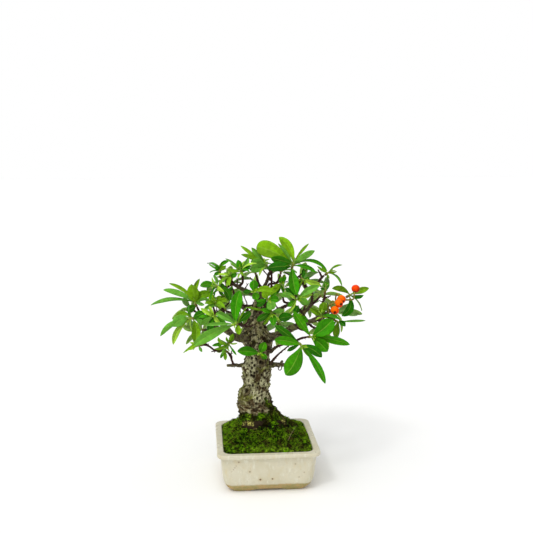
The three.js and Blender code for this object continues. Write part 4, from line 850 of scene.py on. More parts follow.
def bark_material():
    """Rough bark whose plates, pits and algae are in the points' colours"""
    shader = Shader("firethorn_bark", Specular_IOR_Level=0.06)
    coarse = shader.noise(1.3, detail=4.0)
    fine = shader.noise(0.35)
    streak = shader.noise(1.0, detail=2.0, stretch=(1, 1, 0.3))
    color = shader.brighten(shader.tint(), coarse, 0.3, 0.7, 0.7, 1.2)
    color = shader.brighten(color, fine, 0.2, 0.8, 0.82, 1.14)
    color = shader.brighten(color, streak, 0.3, 0.7, 0.88, 1.08)
    height = shader.sum((0.7, coarse), (0.3, fine))
    return shader.finish(color, shader.ramp(fine, 0.2, 0.8, 0.78, 0.98), height, depth=0.5, strength=0.8)


def moss_material():
    shader = Shader("moss_tufts", Specular_IOR_Level=0.04)
    fine = shader.noise(0.6, detail=2.0)
    color = shader.brighten(shader.tint(), shader.noise(2.2), 0.3, 0.7, 0.8, 1.15)
    color = shader.brighten(color, fine, 0.3, 0.7, 0.7, 1.3)
    return shader.finish(color, shader.ramp(fine, 0.2, 0.8, 0.75, 0.98), fine, depth=0.3, strength=0.8)


def soil_material():
    shader = Shader("grainy_soil", Specular_IOR_Level=0.2)
    size = shader.cells(SOIL_GRAIN).outputs["Distance"]
    color = shader.blend(shader.noise(SOIL_GRAIN), solid(SOIL_DARK), solid(SOIL_PALE))
    # Darker toward the edge of each grain, as painted shade between the grains
    color = shader.brighten(color, size, 0.7, 0.1, 0.5, 1.2)
    height = shader.math("SUBTRACT", 1.0, size)
    return shader.finish(color, shader.ramp(size, 0.0, 0.7, 0.8, 1.0), height, depth=0.8)


def glaze_holes(shader):
    """Pinholes here and there and at the seen places, and the stain round each"""
    holes = shader.cells(PINHOLE_SPACING)
    chance = shader.node("ShaderNodeSeparateColor", {0: holes.outputs["Color"]}).outputs[0]
    rare = shader.ramp(chance, 0.72, 0.73)
    pinhole = shader.times(shader.ramp(holes.outputs["Distance"], 0.09, 0.05), rare)
    halo = shader.times(shader.ramp(holes.outputs["Distance"], 0.25, 0.06), rare)
    for x, z, radius, depth in GLAZE_SPOTS:
        middle = np.array([x, -half_width(POT_OUTSIDE, z), z]) * MM + FRAME_SHIFT
        distance = shader.node("ShaderNodeVectorMath", {0: shader.place(), 1: middle}, operation="DISTANCE")
        away = distance.outputs["Value"]
        radius *= MM
        pinhole = shader.math("MAXIMUM", pinhole, shader.ramp(away, radius, 0.4 * radius, 0.0, depth))
        halo = shader.math("MAXIMUM", halo, shader.ramp(away, 2.6 * radius, radius, 0.0, depth))
    return pinhole, halo


def glaze_material():
    """Cream glaze with pinholes over the body, and a tan foot without glaze"""
    shader = Shader("cream_glaze", Specular_IOR_Level=0.5)
    cloud = shader.noise(14)
    stain = shader.noise(5, detail=4.0)
    grain = shader.noise(0.6, detail=2.0)
    runs = shader.noise(2.8, stretch=(1, 1, 0.35))
    pinhole, halo = glaze_holes(shader)
    glaze = shader.blend(shader.ramp(cloud, 0.35, 0.7), solid(GLAZE), solid(GLAZE_THIN))
    for share, tone in (
            (shader.ramp(stain, 0.6, 0.8, 0.0, 0.35), GLAZE_STAIN),
            (shader.ramp(runs, 0.52, 0.75, 0.0, 0.6), GLAZE_RUN),
            (shader.ramp(runs, 0.47, 0.25, 0.0, 0.7), GLAZE_BLOOM),
            (shader.times(halo, 0.45), GLAZE_STAIN), (shader.times(pinhole, 0.95), GLAZE_HOLE)):
        glaze = shader.blend(share, glaze, solid(tone))
    clay = shader.blend(shader.ramp(shader.noise(5), 0.4, 0.6), solid(CLAY), solid(CLAY_DARK))
    clay = shader.blend(shader.ramp(grain, 0.4, 0.7, 0.0, 0.4), clay, solid(CLAY_PALE))
    level = shader.node("ShaderNodeSeparateXYZ", {0: shader.place()}).outputs[2]
    wavy = shader.sum((1.0, level), (FOOT_BAND_WAVE * MM, shader.math("SUBTRACT", stain, 0.5)))
    bare = shader.ramp(wavy, (FOOT_BAND_TOP + FOOT_BAND_EDGE) * MM, (FOOT_BAND_TOP - FOOT_BAND_EDGE) * MM)
    shine = shader.ramp(cloud, 0.3, 0.7, 0.24, 0.4)
    roughness = shader.math("MAXIMUM", shader.ramp(bare, 0.0, 1.0, 0.0, 0.85), shine)
    height = shader.sum((0.6, cloud), (-0.8, pinhole), (shader.ramp(bare, 0.0, 1.0, 0.06, 0.4), grain))
    return shader.finish(shader.blend(bare, glaze, clay), roughness, height, depth=0.35, strength=0.7)


def berry_material():
    shader = Shader("berry", Specular_IOR_Level=0.5, IOR=1.25, Specular_Tint=(1.0, 0.6, 0.3, 1.0),
                    Subsurface_Weight=0.06, Subsurface_Scale=0.001, Subsurface_Radius=(1.0, 0.35, 0.1))
    mottle = shader.noise(1.6)
    dots = shader.noise(0.25, detail=1.0)
    color = shader.brighten(shader.tint(), mottle, 0.3, 0.7, 0.9, 1.1)
    return shader.finish(color, shader.ramp(mottle, 0.3, 0.7, 0.2, 0.34), dots, depth=0.05, strength=0.5)


# Trunk


def trunk_at(z):
    levels = np.array(TRUNK_LEVELS, float)
    return np.interp(z, levels[:, 0], levels[:, 1]), np.interp(z, levels[:, 0], levels[:, 2])


def smooth_trunk_at(z):
    """The trunk's middle and half width with its corners rounded off"""
    reach, spread, count = TRUNK_ROUNDING
    offsets = np.linspace(-reach, reach, count)
    weights = np.exp(-(offsets / spread) ** 2)
    weights /= weights.sum()
    return [sum(w * trunk_at(z + o)[part] for w, o in zip(weights, offsets)) for part in (0, 1)]


def root_reach(angle, z):
    base = TRUNK_LEVELS[0][0]
    fade = (1 - np.clip((z - base) / (ROOT_FLARE_TOP - base), 0, 1)) ** ROOT_FLARE_POWER
    reach = 0
    for direction, length, width in ROOTS:
        off = np.degrees(angle) - direction
        off = off - 360 * np.round(off / 360)
        reach = reach + length * np.exp(-((off / width) ** 2)) * fade
    return reach


def knobs(angle, z):
    return KNOB_HEIGHT * sum(
        share * np.sin(lumps * angle + twist * z + start) for lumps, twist, start, share in KNOB_WAVES)


def picture_place(points):
    """Where the sight lines through points meet the plane of the tables, as x and z"""
    share = -VIEWPOINT[1] / (points[..., 1] - VIEWPOINT[1])
    placed = VIEWPOINT + (points - VIEWPOINT) * share[..., None]
    return placed[..., 0], placed[..., 2]


class Bark:
    """The trunk's skin as a grid of rings: where each point is, how far it rises, and its colour"""

    def __init__(self):
        top = TRUNK_LEVELS[-1][0]
        heights = np.concatenate([TRUNK_HIDDEN_LEVELS, np.arange(TRUNK_FINE_FROM, top + 0.1, TRUNK_STEP)])
        angles = np.arange(TRUNK_SECTORS) / TRUNK_SECTORS * TURN
        self.angle, self.z = np.meshgrid(angles, heights)
        self.turn = np.where(self.angle > math.pi, self.angle - TURN, self.angle)
        x, half = smooth_trunk_at(self.z)
        base = TRUNK_LEVELS[0][0]
        fade = np.minimum(1, half / KNOB_FULL_HALF) * np.clip((self.z - base) / KNOB_FADE, 0, 1)
        radius = half + root_reach(self.angle, self.z) + knobs(self.angle, self.z) * fade
        self.out = np.stack([np.cos(self.angle), np.sin(self.angle), np.zeros_like(x)], axis=-1)
        self.skin = np.stack([x, np.full_like(x, TRUNK_Y), self.z], axis=-1) + self.out * radius[..., None]
        self.x_seen, self.z_seen = picture_place(self.skin)
        toward = VIEWPOINT - self.skin
        toward /= np.linalg.norm(toward, axis=-1)[..., None]
        self.facing = np.sum(self.out * toward, axis=-1)
        self.seen = smooth(0.0, 0.35, self.facing)
        self.fine = noise_at(self.skin, 1.5, 3, 3)
        self.height = np.zeros_like(x)
        self.hump = np.zeros_like(x)
        self.colors = np.broadcast_to(BARK_BROWN, self.skin.shape)

    def seen_reach(self, x, z, wide, tall):
        """How far each point is from a spot that the camera sees, where 1 is the spot's edge"""
        return np.hypot((self.x_seen - x) / wide, (self.z_seen - z) / tall)

    def away(self, spot, size, stretch=(1, 1, 1)):
        """How far each point is from a spot, measured in the spot's size"""
        return np.linalg.norm((self.skin - spot) * stretch, axis=-1) / size

    def paint(self, tone, share):
        self.colors = mix(self.colors, tone, share)

    def points(self):
        rise = self.height * smooth(*RELIEF_FROM, self.z) + self.hump * smooth(*HUMPS_FROM, self.z)
        return self.skin + self.out * rise[..., None]

    def spot(self, x, z):
        """The point of the skin that the camera sees at x and z"""
        distance = np.hypot(self.x_seen - x, self.z_seen - z) + np.where(self.facing < -0.1, 50, 0)
        return self.skin.reshape(-1, 3)[np.argmin(distance)]

    def scatter(self, low, high, spacing, tries, chance, taken):
        """Points of the skin between two heights, at least spacing apart"""
        rows = np.argwhere((self.z >= low) & (self.z <= high))
        found = list(taken)
        for _ in range(tries):
            i, j = rows[chance.randrange(len(rows))]
            spot = self.skin[i, j]
            if all(math.dist(spot, other) > spacing for other in found):
                found.append(spot)
        return found[len(taken):]


def add_plates(bark):
    streak = noise_at(bark.skin * [1, 1, 0.45], 2.6, 3, 1)
    broad = noise_at(bark.skin, 9, 2, 2)
    lumps = noise_at(bark.skin, 3.2, 3, 22)
    high = smooth(*HIGH_BARK_FROM, bark.z)
    cracks = smooth(0.13, 0.02, np.abs(noise_at(bark.skin * [1, 1, 0.6], 3.0, 3, 18)))
    bark.height += 0.6 * streak + 0.5 * bark.fine + 0.7 * broad - 0.4 * cracks + high * lumps
    bark.paint(BARK_PLATE, 0.92 * smooth(0.0, 0.22, streak + 0.35 * broad))
    bark.paint(BARK_ALGAE, 0.7 * smooth(0.0, 0.3, noise_at(bark.skin, 5, 3, 5)))
    bark.paint(BARK_HIGH, 0.6 * high * smooth(-0.1, 0.2, lumps))
    bark.paint(BARK_PIT_AND_SHADOW, 0.75 * cracks + 0.85 * high * smooth(0.0, -0.2, lumps) * (1 - 0.75 * cracks))


def add_folds(bark):
    """Level wrinkles above the roots"""
    folds = noise_at(bark.skin * [0.3, 0.3, 1], 1.5, 3, 4)
    share = smooth(*FOLDS_BELOW, bark.z)
    bark.height += 1.1 * folds * share
    bark.paint(BARK_FOLD, 0.8 * share)
    bark.paint(BARK_RUST, 0.7 * share * smooth(0.12, 0.0, folds))
    bark.paint(BARK_PLATE, 0.42 * share * smooth(0.1, 0.35, folds))
    bark.paint(BARK_PIT_AND_SHADOW, 0.85 * share * smooth(-0.05, -0.25, folds))


def add_patches(bark):
    edge = 0.7 * noise_at(bark.skin, 1.6, 3, 6)
    broken = smooth(-0.45, 0.05, noise_at(bark.skin, 1.2, 3, 21))
    for x, z, wide, tall, share, tone in BARK_PATCHES_SEEN:
        distance = bark.seen_reach(x, z, wide, tall) + edge
        bark.paint(tone, share * broken * bark.seen * smooth(1.05, 0.9, distance))


def add_warts(bark, chance):
    """Dark knobs, largest along the edges that the camera sees"""
    warts = np.zeros_like(bark.z)
    sizes = [(bark.spot(x, z), size) for x, z, size in WARTS_SEEN]
    taken = [spot for spot, _ in sizes]
    sizes += [(spot, chance.uniform(*WART_SIZES)) for spot in bark.scatter(*WART_ZONE, chance, taken)]
    for spot, size in sizes:
        distance = bark.away(spot, size) + 0.2 * bark.fine
        warts = np.maximum(warts, smooth(1.25, 0.2, distance) * size)
    bark.height += 0.8 * warts
    ring = smooth(0.02, 0.25, warts) * smooth(0.75, 0.4, warts)
    bark.paint(BARK_PIT_AND_SHADOW, 0.7 * ring)


def add_pits(bark, chance):
    """Small dark holes, some in a brown stain, in loose groups"""
    pits = np.zeros_like(bark.z)
    stains = np.zeros_like(bark.z)
    rims = np.zeros_like(bark.z)
    sizes = [(bark.spot(x, z), chance.uniform(*PIT_SIZES_SEEN), 0.4) for x, z in PITS_SEEN]
    taken = [spot for spot, _, _ in sizes]
    for spot in bark.scatter(*PIT_ZONE, chance, taken):
        if noise_at(spot, 8, 2, 19) > -0.12:
            sizes.append((spot, chance.uniform(*PIT_SIZES), chance.uniform(0.2, 1.0)))
    for spot, size, stain in sizes:
        distance = bark.away(spot, size, (1, 1, 0.75)) + 0.25 * bark.fine
        pits = np.maximum(pits, smooth(1.12, 0.75, distance))
        stains = np.maximum(stains, stain * smooth(2.2, 1.2, distance))
        rims = np.maximum(rims, (1 - stain) * smooth(2.3, 1.5, distance))
    bark.height += 0.2 * stains - 1.0 * pits
    bark.paint(BARK_BROWN, 0.55 * stains)
    bark.paint(BARK_PLATE, 0.26 * rims)
    bark.paint(BARK_PIT_AND_SHADOW, 0.98 * pits)


def add_knots(bark):
    """Round scars of old branches, with a raised ring"""
    for x, z, size in KNOTS_SEEN:
        distance = bark.away(bark.spot(x, z), size) + 0.2 * bark.fine
        ring = np.exp(-((distance - 1) / 0.3) ** 2)
        groove = np.exp(-((distance - 1.45) / 0.18) ** 2)
        bark.height += 0.9 * ring - 0.6 * smooth(0.8, 0.3, distance)
        bark.paint(BARK_FOLD, 0.6 * ring)
        bark.paint(BARK_PIT_AND_SHADOW, 0.8 * smooth(0.75, 0.5, distance) + 0.7 * groove)


def add_foot(bark):
    """Dark earthy roots with humps and a yellow crust of lichen"""
    height = bark.z + 3 * bark.fine
    earth = smooth(*EARTH_BELOW, height)
    right_root = np.exp(-(bark.turn / RIGHT_ROOT_SPREAD) ** 2) * smooth(*RIGHT_ROOT_EARTH_BELOW, height)
    for x, z, wide, tall, rise in HUMPS_SEEN:
        reach = bark.seen_reach(x, z, wide, tall)
        bark.hump += (rise + 0.8 * bark.fine) * bark.seen * np.exp(-reach ** 2)
    bark.paint(ROOT_BROWN, np.maximum(earth, right_root))
    speckle = noise_at(bark.skin, 0.8, 3, 16)
    for x, z, size in LICHEN_SEEN:
        share = bark.seen * smooth(1.3, 0.8, bark.seen_reach(x, z, size, size)) * smooth(0.02, 0.2, speckle)
        bark.height += 0.3 * share
        bark.paint(LICHEN, 0.9 * share)


def moss_cover(bark):
    """Where moss grows on the trunk's foot, from 0 to 1"""
    edge = noise_at(bark.skin, 4, 3, 14)
    low = smooth(2, -1, bark.z - MOSS_LOW - 3 * edge)
    band = smooth(*MOSS_BAND_FROM, bark.z_seen + 1.2 * edge) * smooth(*MOSS_BAND_TO, bark.z_seen - 2 * edge)
    band = bark.seen * band * smooth(*MOSS_BAND_END, bark.x_seen)
    climb = np.exp(-((bark.turn - MOSS_CLIMB_TURN) / MOSS_CLIMB_SPREAD) ** 2)
    climb = MOSS_CLIMB_LOW + MOSS_CLIMB_RISE * climb
    root = smooth(1.5, -1.5, bark.z - climb - 3 * edge) * smooth(-0.5, -0.1, edge)
    bare = np.zeros_like(edge)
    for x, z, wide, tall, _ in HUMPS_SEEN:
        bare = np.maximum(bare, bark.seen * smooth(1.0, 0.7, bark.seen_reach(x, z, wide, tall)))
    bare = np.maximum(bare, np.exp(-((bark.turn - 0.05) / 0.3) ** 2) * smooth(42, 45, bark.z))
    return np.maximum(np.maximum(low, root) * (1 - bare), band)


def make_bark(chance):
    bark = Bark()
    add_plates(bark)
    add_folds(bark)
    add_patches(bark)
    add_warts(bark, chance)
    add_pits(bark, chance)
    add_knots(bark)
    add_foot(bark)
    bark.cover = moss_cover(bark)
    bark.paint(MOSS_DARK, 0.85 * bark.cover)
    return bark


# Branches


def tube_rings(curve, kind, chance):
    """Rings along a curve, carried without twist, with a knobbly radius"""
    sides, step, roughness = WOOD_KINDS[kind]
    length = curve.length()
    shares = np.linspace(0, 1, max(4, math.ceil(length / step)) + 1)
    middles = np.array([curve.point(t) for t in shares])
    radii = np.array([curve.radius(t) for t in shares])
    ahead = np.gradient(middles, axis=0)
    ahead /= np.linalg.norm(ahead, axis=1)[:, None]
    knots = 1 + 0.16 * np.maximum(0, np.sin(chance.uniform(0, 50) + shares * length * 0.9)) ** 6
    side = sideways(ahead[0])[0]
    rings = []
    for middle, along, radius in zip(middles, ahead, radii * knots):
        side = unit(side - along * np.dot(side, along))
        rings.append(ring_round(middle, side, np.cross(along, side), np.full(sides, radius)))
    rings = np.array(rings)
    out = rings - middles[:, None, :]
    lumps = noise_at(rings, 2.2, 3, 7)[..., None]
    return middles[:, None, :] + out * (1 + roughness * lumps), radii


def limb_colors(rings, radii, greyest):
    """Grey bark with dark blotches on thick limbs, dark purple brown on twigs"""
    thick = np.maximum(greyest, smooth(0.8, 1.8, radii))[:, None]
    tones = mix(TWIG_TONE, LIMB_TONE, np.broadcast_to(thick, rings.shape[:2]))
    tones = mix(tones, BARK_ALGAE, 0.5 * thick * smooth(0.0, 0.4, noise_at(rings, 3.0, 3, 8)))
    tones = mix(tones, BARK_PIT_AND_SHADOW, 0.75 * thick * smooth(0.05, 0.3, noise_at(rings, 1.7, 3, 20)))
    return np.clip(tones * (1 + 0.5 * noise_at(rings, 1.1, 2, 9)[..., None]), 0, 1)


def add_branch(form, curve, kind, chance, color=None):
    rings, radii = tube_rings(curve, kind, chance)
    greyest = STUB_GREYNESS if kind == "stub" else 0
    form.add_rings(rings, limb_colors(rings, radii, greyest) if color is None else color)


def add_bud(form, point, direction, length, radius, color):
    """A small pointed bud or spur"""
    direction = unit(direction)
    side, other = sideways(direction)
    rings = [ring_round(point + direction * length * share, side, other, [radius * width] * BUD_SIDES)
             for share, width in BUD_RINGS]
    form.add_rings(rings, color)


def add_spurs(form, curve, chance):
    """Buds and short thorns at the knots of a twig"""
    length = curve.length()
    place_along = chance.uniform(2, 4)
    while place_along < length - 1:
        t = place_along / length
        along = unit(curve.point(min(1, t + 0.02)) - curve.point(max(0, t - 0.02)))
        out = unit(np.cross(along, any_way(chance)))
        width, shortest, longest = THORN if chance.random() < THORN_SHARE else SPUR
        size = chance.uniform(shortest, longest)
        tone = TWIG_TONE * chance.uniform(0.7, 1.3)
        add_bud(form, curve.point(t) + out * curve.radius(t) * 0.7, out + along * 0.6, size, width, tone)
        place_along += chance.uniform(*SPUR_SPACING)


def grow_twiglets(space, curves, chance):
    """Thin crooked side twigs where no leaf is in the way"""
    grown = []
    for curve in curves:
        for _ in range(round(curve.length() / TWIGLET_SPACING)):
            t = chance.uniform(0.25, 1)
            points = [curve.point(t)]
            heading = unit(any_way(chance, -0.3))
            for _ in range(chance.randrange(*TWIGLET_JOINTS)):
                heading = unit(heading + TWIGLET_SWAY * any_way(chance, -0.6))
                points.append(points[-1] + heading * chance.uniform(*TWIGLET_STEP))
            clear = all(space.is_clear(point, WoodOwner, TWIGLET_CLEARANCE) for point in points[1:])
            inside = math.hypot(*(points[-1] - CROWN_MIDDLE) / CROWN_REACH) < 1
            if clear and inside and points[0][2] > TWIGLET_LOWEST:
                thick = min(TWIGLET_THICKEST, 0.75 * curve.radius(t))
                grown.append(Curve(points, np.linspace(thick, TWIGLET_THINNEST, len(points))))
    return grown


# Shoots and their leaves, placed by the same rule as the frame's solids


def repeatable(seed):
    state = seed
    while True:
        state = state * 16807 % 2147483647
        yield (state - 1) / 2147483646


class Shoot:
    """A leafy shoot: where it sits, the way it points and the leaves that it carries"""

    def __init__(self, row, index):
        self.label, at, aim, self.more, self.size, self.tones, self.leaves = row
        self.name = "shoot_" + self.label
        self.twig = self.name + " twig"
        self.point = place(*at)
        self.axis = way(*aim)
        self.across = sideways(self.axis, 0.8)[0]
        self.foot = self.point - self.axis * SHOOT_BEHIND
        self.start = index * 1.1
        self.blades = []


class WoodOwner:
    """Stands for the wood where a twig asks what is in its way"""
    name = "wood"
    twig = "wood"
    foot = (0, 0, 0)


class Leaf:
    """A blade from its base to its tip, bowed by bend at its middle"""

    def __init__(self, base, tip, width, normal, bend, knots=None, tone="b"):
        self.base, self.tip, self.width, self.normal, self.bend = base, tip, width, normal, bend
        self.length = float(np.linalg.norm(tip - base))
        self.knots = knots or (LONG_BLADE if self.length > LONG_BLADE_FROM else SHORT_BLADE)
        self.tone = tone
        self.pointed = 0.8 if self.knots is SHORT_BLADE else 0.75

    def point(self, t):
        return self.base + (self.tip - self.base) * t + self.bend * 4 * t * (1 - t)

    def sides(self, t):
        along = unit(self.point(min(1, t + 0.05)) - self.point(max(0, t - 0.05)))
        side = unit(np.cross(self.normal, along))
        return side, np.cross(along, side)

    def width_share(self, t):
        return float(np.interp(t, [k[0] for k in self.knots], [k[1] for k in self.knots]))

    def samples(self):
        steps = math.ceil(self.length / SAMPLE_STEP)
        across = [-1, -0.5, 0, 0.5, 1] if self.width > WIDE_LEAF_FROM else [-1, 0, 1]
        found = []
        for i in range(1, steps + 1):
            side = self.sides(i / steps)[0]
            half = self.width / 2 * self.width_share(i / steps)
            found.extend(self.point(i / steps) + side * half * share for share in across)
        return found


def cell_of(point):
    return tuple(math.floor(c / CELL) for c in point)


class Space:
    """What leaves keep clear of, in cubes of space"""

    def __init__(self):
        self.cells = {}

    def add(self, point, radius, owner):
        self.cells.setdefault(cell_of(point), []).append((tuple(point), radius, owner))

    def add_branch(self, curve, owner):
        steps = math.ceil(curve.length() / OBSTACLE_STEP)
        for i in range(steps + 1):
            self.add(curve.point(i / steps), solid_radius(curve.radius(i / steps)), owner)

    def is_clear(self, point, shoot, clearance):
        near = [(cell - 1, cell, cell + 1) for cell in cell_of(point)]
        for cell in itertools.product(*near):
            for other, radius, owner in self.cells.get(cell, ()):
                own = owner == shoot.name or owner == shoot.twig and math.dist(other, shoot.foot) < TWIG_END
                if not own and math.dist(other, point) < clearance + radius:
                    return False
        return True


def solid_radius(radius):
    return radius + 0.3 - LEAF_CLEARANCE / 2


def add_trunk_to(space):
    """Balls just under the trunk's skin"""
    for z in np.arange(MOSS_CONTACT, TRUNK_LEVELS[-1][0], TRUNK_BALL_STEP):
        x, half = trunk_at(z)
        depth = max(0, half - TRUNK_BALL)
        for spot in ring_round([x, TRUNK_Y, z], RIGHT, BACK, [depth] * TRUNK_BALLS_ROUND):
            space.add(spot, solid_radius(TRUNK_BALL + 0.1), "trunk")


def keep_if_clear(space, shoot, leaf, clearance=LEAF_CLEARANCE):
    samples = leaf.samples()
    if not all(space.is_clear(point, shoot, clearance) for point in samples):
        return False
    for point in samples:
        space.add(point, 0, shoot.name)
    shoot.blades.append(leaf)
    return True


def picture_leaf(shoot, row, index, change):
    x, z, depth, width, turn, bow = (*row, 0, 0)[:6]
    base = shoot.point + shoot.axis * (LEAF_ROW_START - 0.45 * (index % LEAVES_IN_A_ROW))
    tip = place(x, z, depth + change)
    along = unit(tip - base)
    left = unit(np.cross(unit(VIEWPOINT - base), along))
    normal = rotated(np.cross(along, left), along, math.radians(turn))
    return Leaf(base, tip, width, normal, left * bow, tone=shoot.tones[index])


def grow_picture_leaves(space, shoot):
    for index, row in enumerate(shoot.leaves):
        for change in DEPTH_TRIES:
            leaf = picture_leaf(shoot, row, index, change)
            if keep_if_clear(space, shoot, leaf):
                if (shoot.label, index) in TRIMMED_LEAVES:
                    trim(leaf, *TRIMMED_LEAVES[shoot.label, index])
                break


def trim(leaf, width, bow, rise, point):
    leaf.width *= width
    leaf.pointed = point
    leaf.bend = leaf.bend * bow
    leaf.tip = leaf.tip + UP * rise


def spiral_leaf(shoot, index, attempt, draw, tone, lengths):
    angle = (index + attempt * 0.37) * SPIRAL_ANGLE + shoot.start
    opening = math.radians(SPIRAL_OPENING + SPIRAL_OPENING_MORE * draw())
    shortest, longest = lengths
    length = (shortest + (longest - shortest) * draw()) * shoot.size * (1 - 0.03 * attempt)
    out = rotated(shoot.across, shoot.axis, angle)
    direction = shoot.axis * math.cos(opening) + out * math.sin(opening)
    base = shoot.point + shoot.axis * (LEAF_ROW_START - 0.4 * (index % LEAVES_IN_A_ROW))
    tip = base + direction * length - UP * 0.1 * length
    normal = unit(shoot.axis - direction * np.dot(shoot.axis, direction))
    width = length * SMALL_LEAF_SLENDERNESS * (0.85 + 0.3 * draw())
    return Leaf(base, tip, width, normal, normal * 0.07 * length, SMALL_BLADE, tone)


def grow_spiral_leaves(space, shoot, indices, draw, chance, tones, lengths, clearance):
    """Small leaves round a shoot, where there is room"""
    for index in indices:
        for attempt in range(TRIES):
            leaf = spiral_leaf(shoot, index, attempt, draw, chance.choice(tones), lengths)
            if keep_if_clear(space, shoot, leaf, clearance):
                break


def grow_fine_leaves(space, shoot, chance):
    """Leaves too small for the plain solids"""
    if shoot.label not in NO_FINE_LEAVES:
        count = FINE_LEAVES_FRONT if shoot.leaves else FINE_LEAVES_BACK
        grow_spiral_leaves(space, shoot, range(FINE_LEAF_START, FINE_LEAF_START + count), chance.random,
                           chance, FINE_LEAF_TONES, FINE_LEAF_LENGTH, FINE_LEAF_CLEARANCE)


def twig_for(shoot, curves):
    seat = shoot.foot - shoot.axis * 0.3
    wanted = seat - shoot.axis * TWIG_LEAVES_BEHIND
    best = None
    for curve in curves:
        for i in range(21):
            point = curve.point(i / 20)
            distance = np.linalg.norm(point - wanted)
            if best is None or distance < best[1]:
                best = (point, distance, curve.radius(i / 20))
    reach = np.linalg.norm(best[0] - seat)
    middle = seat - shoot.axis * 0.45 * reach
    middle = middle + (best[0] - middle) * 0.3
    return Curve([best[0], middle, seat], [min(best[2] * 0.8, 0.9 + 0.02 * reach), 0.95, 0.8])


def berry_stalk(berry):
    _, at, radius, crown, stalk = berry
    axis = way(*crown)
    end = place(*at) - axis * (radius * BERRY_LENGTH * BERRY_DIMPLE + GAP)
    start, bend = [place(*spot) for spot in stalk]
    return Curve([start, bend, end - axis * 2.6, end],
                 [STALK_RADIUS * 1.3, STALK_RADIUS, STALK_RADIUS * 0.9, STALK_RADIUS * 0.9])


def outline_share(leaf, t):
    """Half width along the blade: a thin stalk, widest beyond the middle, round at the tip"""
    rise = 0.9 if leaf.knots is SMALL_BLADE else 1.3
    fall = leaf.pointed
    peak = rise / (rise + fall)
    top = peak ** rise * (1 - peak) ** fall
    return t ** rise * (1 - t) ** fall / top


def kept_in_box(rings, stations):
    """The blade's rings, bent back where the blade would leave the frame's box"""
    outside = np.maximum(BOX_LOW - rings, 0) - np.maximum(rings - BOX_HIGH, 0)
    outside = outside.reshape(-1, 3)
    back = outside[np.abs(outside).argmax(axis=0), range(3)]
    return rings + back * smooth(0, 0.5, stations)[:, None, None]


def add_leaf(form, leaf, chance):
    """A blade as closed rings: its upper side from edge to edge, then its underside back"""
    stations = LARGE_STATIONS if leaf.length > LONG_BLADE_FROM else SMALL_STATIONS
    across = np.array(BLADE_TOP + BLADE_BOTTOM)
    under = np.arange(len(across)) >= len(BLADE_TOP)
    edge = np.abs(across)
    arch = leaf.normal * BLADE_ARCH * leaf.length
    wave = chance.uniform(0, TURN) + np.where(across > 0, 2, 0)
    twist = chance.uniform(-BLADE_TWIST, BLADE_TWIST)
    tone = leaf_tone(leaf.tone, chance)
    fold_shade = chance.choice((-1, 1)) * chance.uniform(*BLADE_FOLD_SHADE)
    paler_tip = chance.uniform(*BLADE_PALER_TIP)
    tones = np.where(under[:, None], mix(tone, LEAF_UNDERSIDE, 0.55), tone)
    rings, colors = [], []
    for t in stations:
        side, up = leaf.sides(t)
        turn = twist * t
        side, up = side * math.cos(turn) + up * math.sin(turn), up * math.cos(turn) - side * math.sin(turn)
        stalk = 0.42 * (1 - smooth(0.9, 1.0, t)) + 0.06
        half = max(leaf.width / 2 * outline_share(leaf, t), stalk)
        thick = BLADE_THICKNESS + 0.34 * smooth(0.35, 0.0, t) + 0.12 * smooth(0, 0.1, t)
        ripple = BLADE_WAVE_SIZE * leaf.width * edge ** 2 * np.sin(wave + t * BLADE_WAVES)
        rise = half * BLADE_FOLD * edge + ripple - under * thick * (1.6 - edge)
        middle = leaf.point(t) + arch * 4 * t * (1 - t)
        rings.append(middle + side * half * across[:, None] + up * rise[:, None])
        # One half is painted brighter and the other darker, as painted light and shade on the two sides of
        # the fold; the tip is paler or darker than the base at random
        shaded = tones * (1 + fold_shade * np.sign(across) + paler_tip * (t - 0.4))[:, None]
        colors.append(mix(shaded, PETIOLE_TONE, 0.8 * smooth(0.13, 0.04, t)))
    u, v = np.meshgrid((across + 1) / 2, stations)
    places = np.stack([u, v], axis=-1).reshape(-1, 2)
    form.add_rings(kept_in_box(np.array(rings), stations), colors, places)


def leaf_tone(letter, chance):
    tone = LEAF_TONES[letter] * chance.uniform(0.85, 1.18)
    return mix(tone, LEAF_TONES["l"], chance.uniform(0, 0.12))


def add_young_leaves(form, shoot, chance):
    """Narrow pale leaves that open at the tip of a shoot"""
    base = shoot.point + shoot.axis * (SHOOT_AHEAD - 1)
    for index in range(YOUNG_LEAVES):
        out = rotated(shoot.across, shoot.axis, (index + chance.random()) * TURN / YOUNG_LEAVES)
        direction = unit(shoot.axis + out * chance.uniform(0.3, 0.9))
        length = chance.uniform(*YOUNG_LEAF_LENGTH)
        normal = unit(shoot.axis - direction * np.dot(shoot.axis, direction))
        width = length * chance.uniform(*YOUNG_LEAF_SLENDERNESS)
        tone = chance.choice(YOUNG_LEAF_TONES)
        tip = base + direction * length
        add_leaf(form, Leaf(base, tip, width, normal, normal * 0.1 * length, SMALL_BLADE, tone), chance)


def shoot_form(shoot, chance):
    form = Form()
    stem = Curve([shoot.foot, shoot.point, shoot.point + shoot.axis * SHOOT_AHEAD],
                 [SHOOT_RADIUS * 0.78, SHOOT_RADIUS * 0.85, SHOOT_RADIUS * 0.3])
    rings, _ = tube_rings(stem, "shoot", chance)
    levels = np.linspace(0, 1, len(rings))
    tones = mix(YOUNG_WOOD, PETIOLE_TONE, smooth(0.2, 0.9, levels))[:, None, :]
    form.add_rings(rings, tones)
    add_bud(form, shoot.point + shoot.axis * (SHOOT_AHEAD - 0.4), shoot.axis, 1.3, 0.45, BUD_TONE)
    for leaf in shoot.blades:
        add_leaf(form, leaf, chance)
    add_young_leaves(form, shoot, chance)
    return form


# Moss


def half_width(profile, z):
    """The pot's half width at a height, from a profile that rises"""
    return float(np.interp(z, [height for _, height in profile], [half for half, _ in profile]))


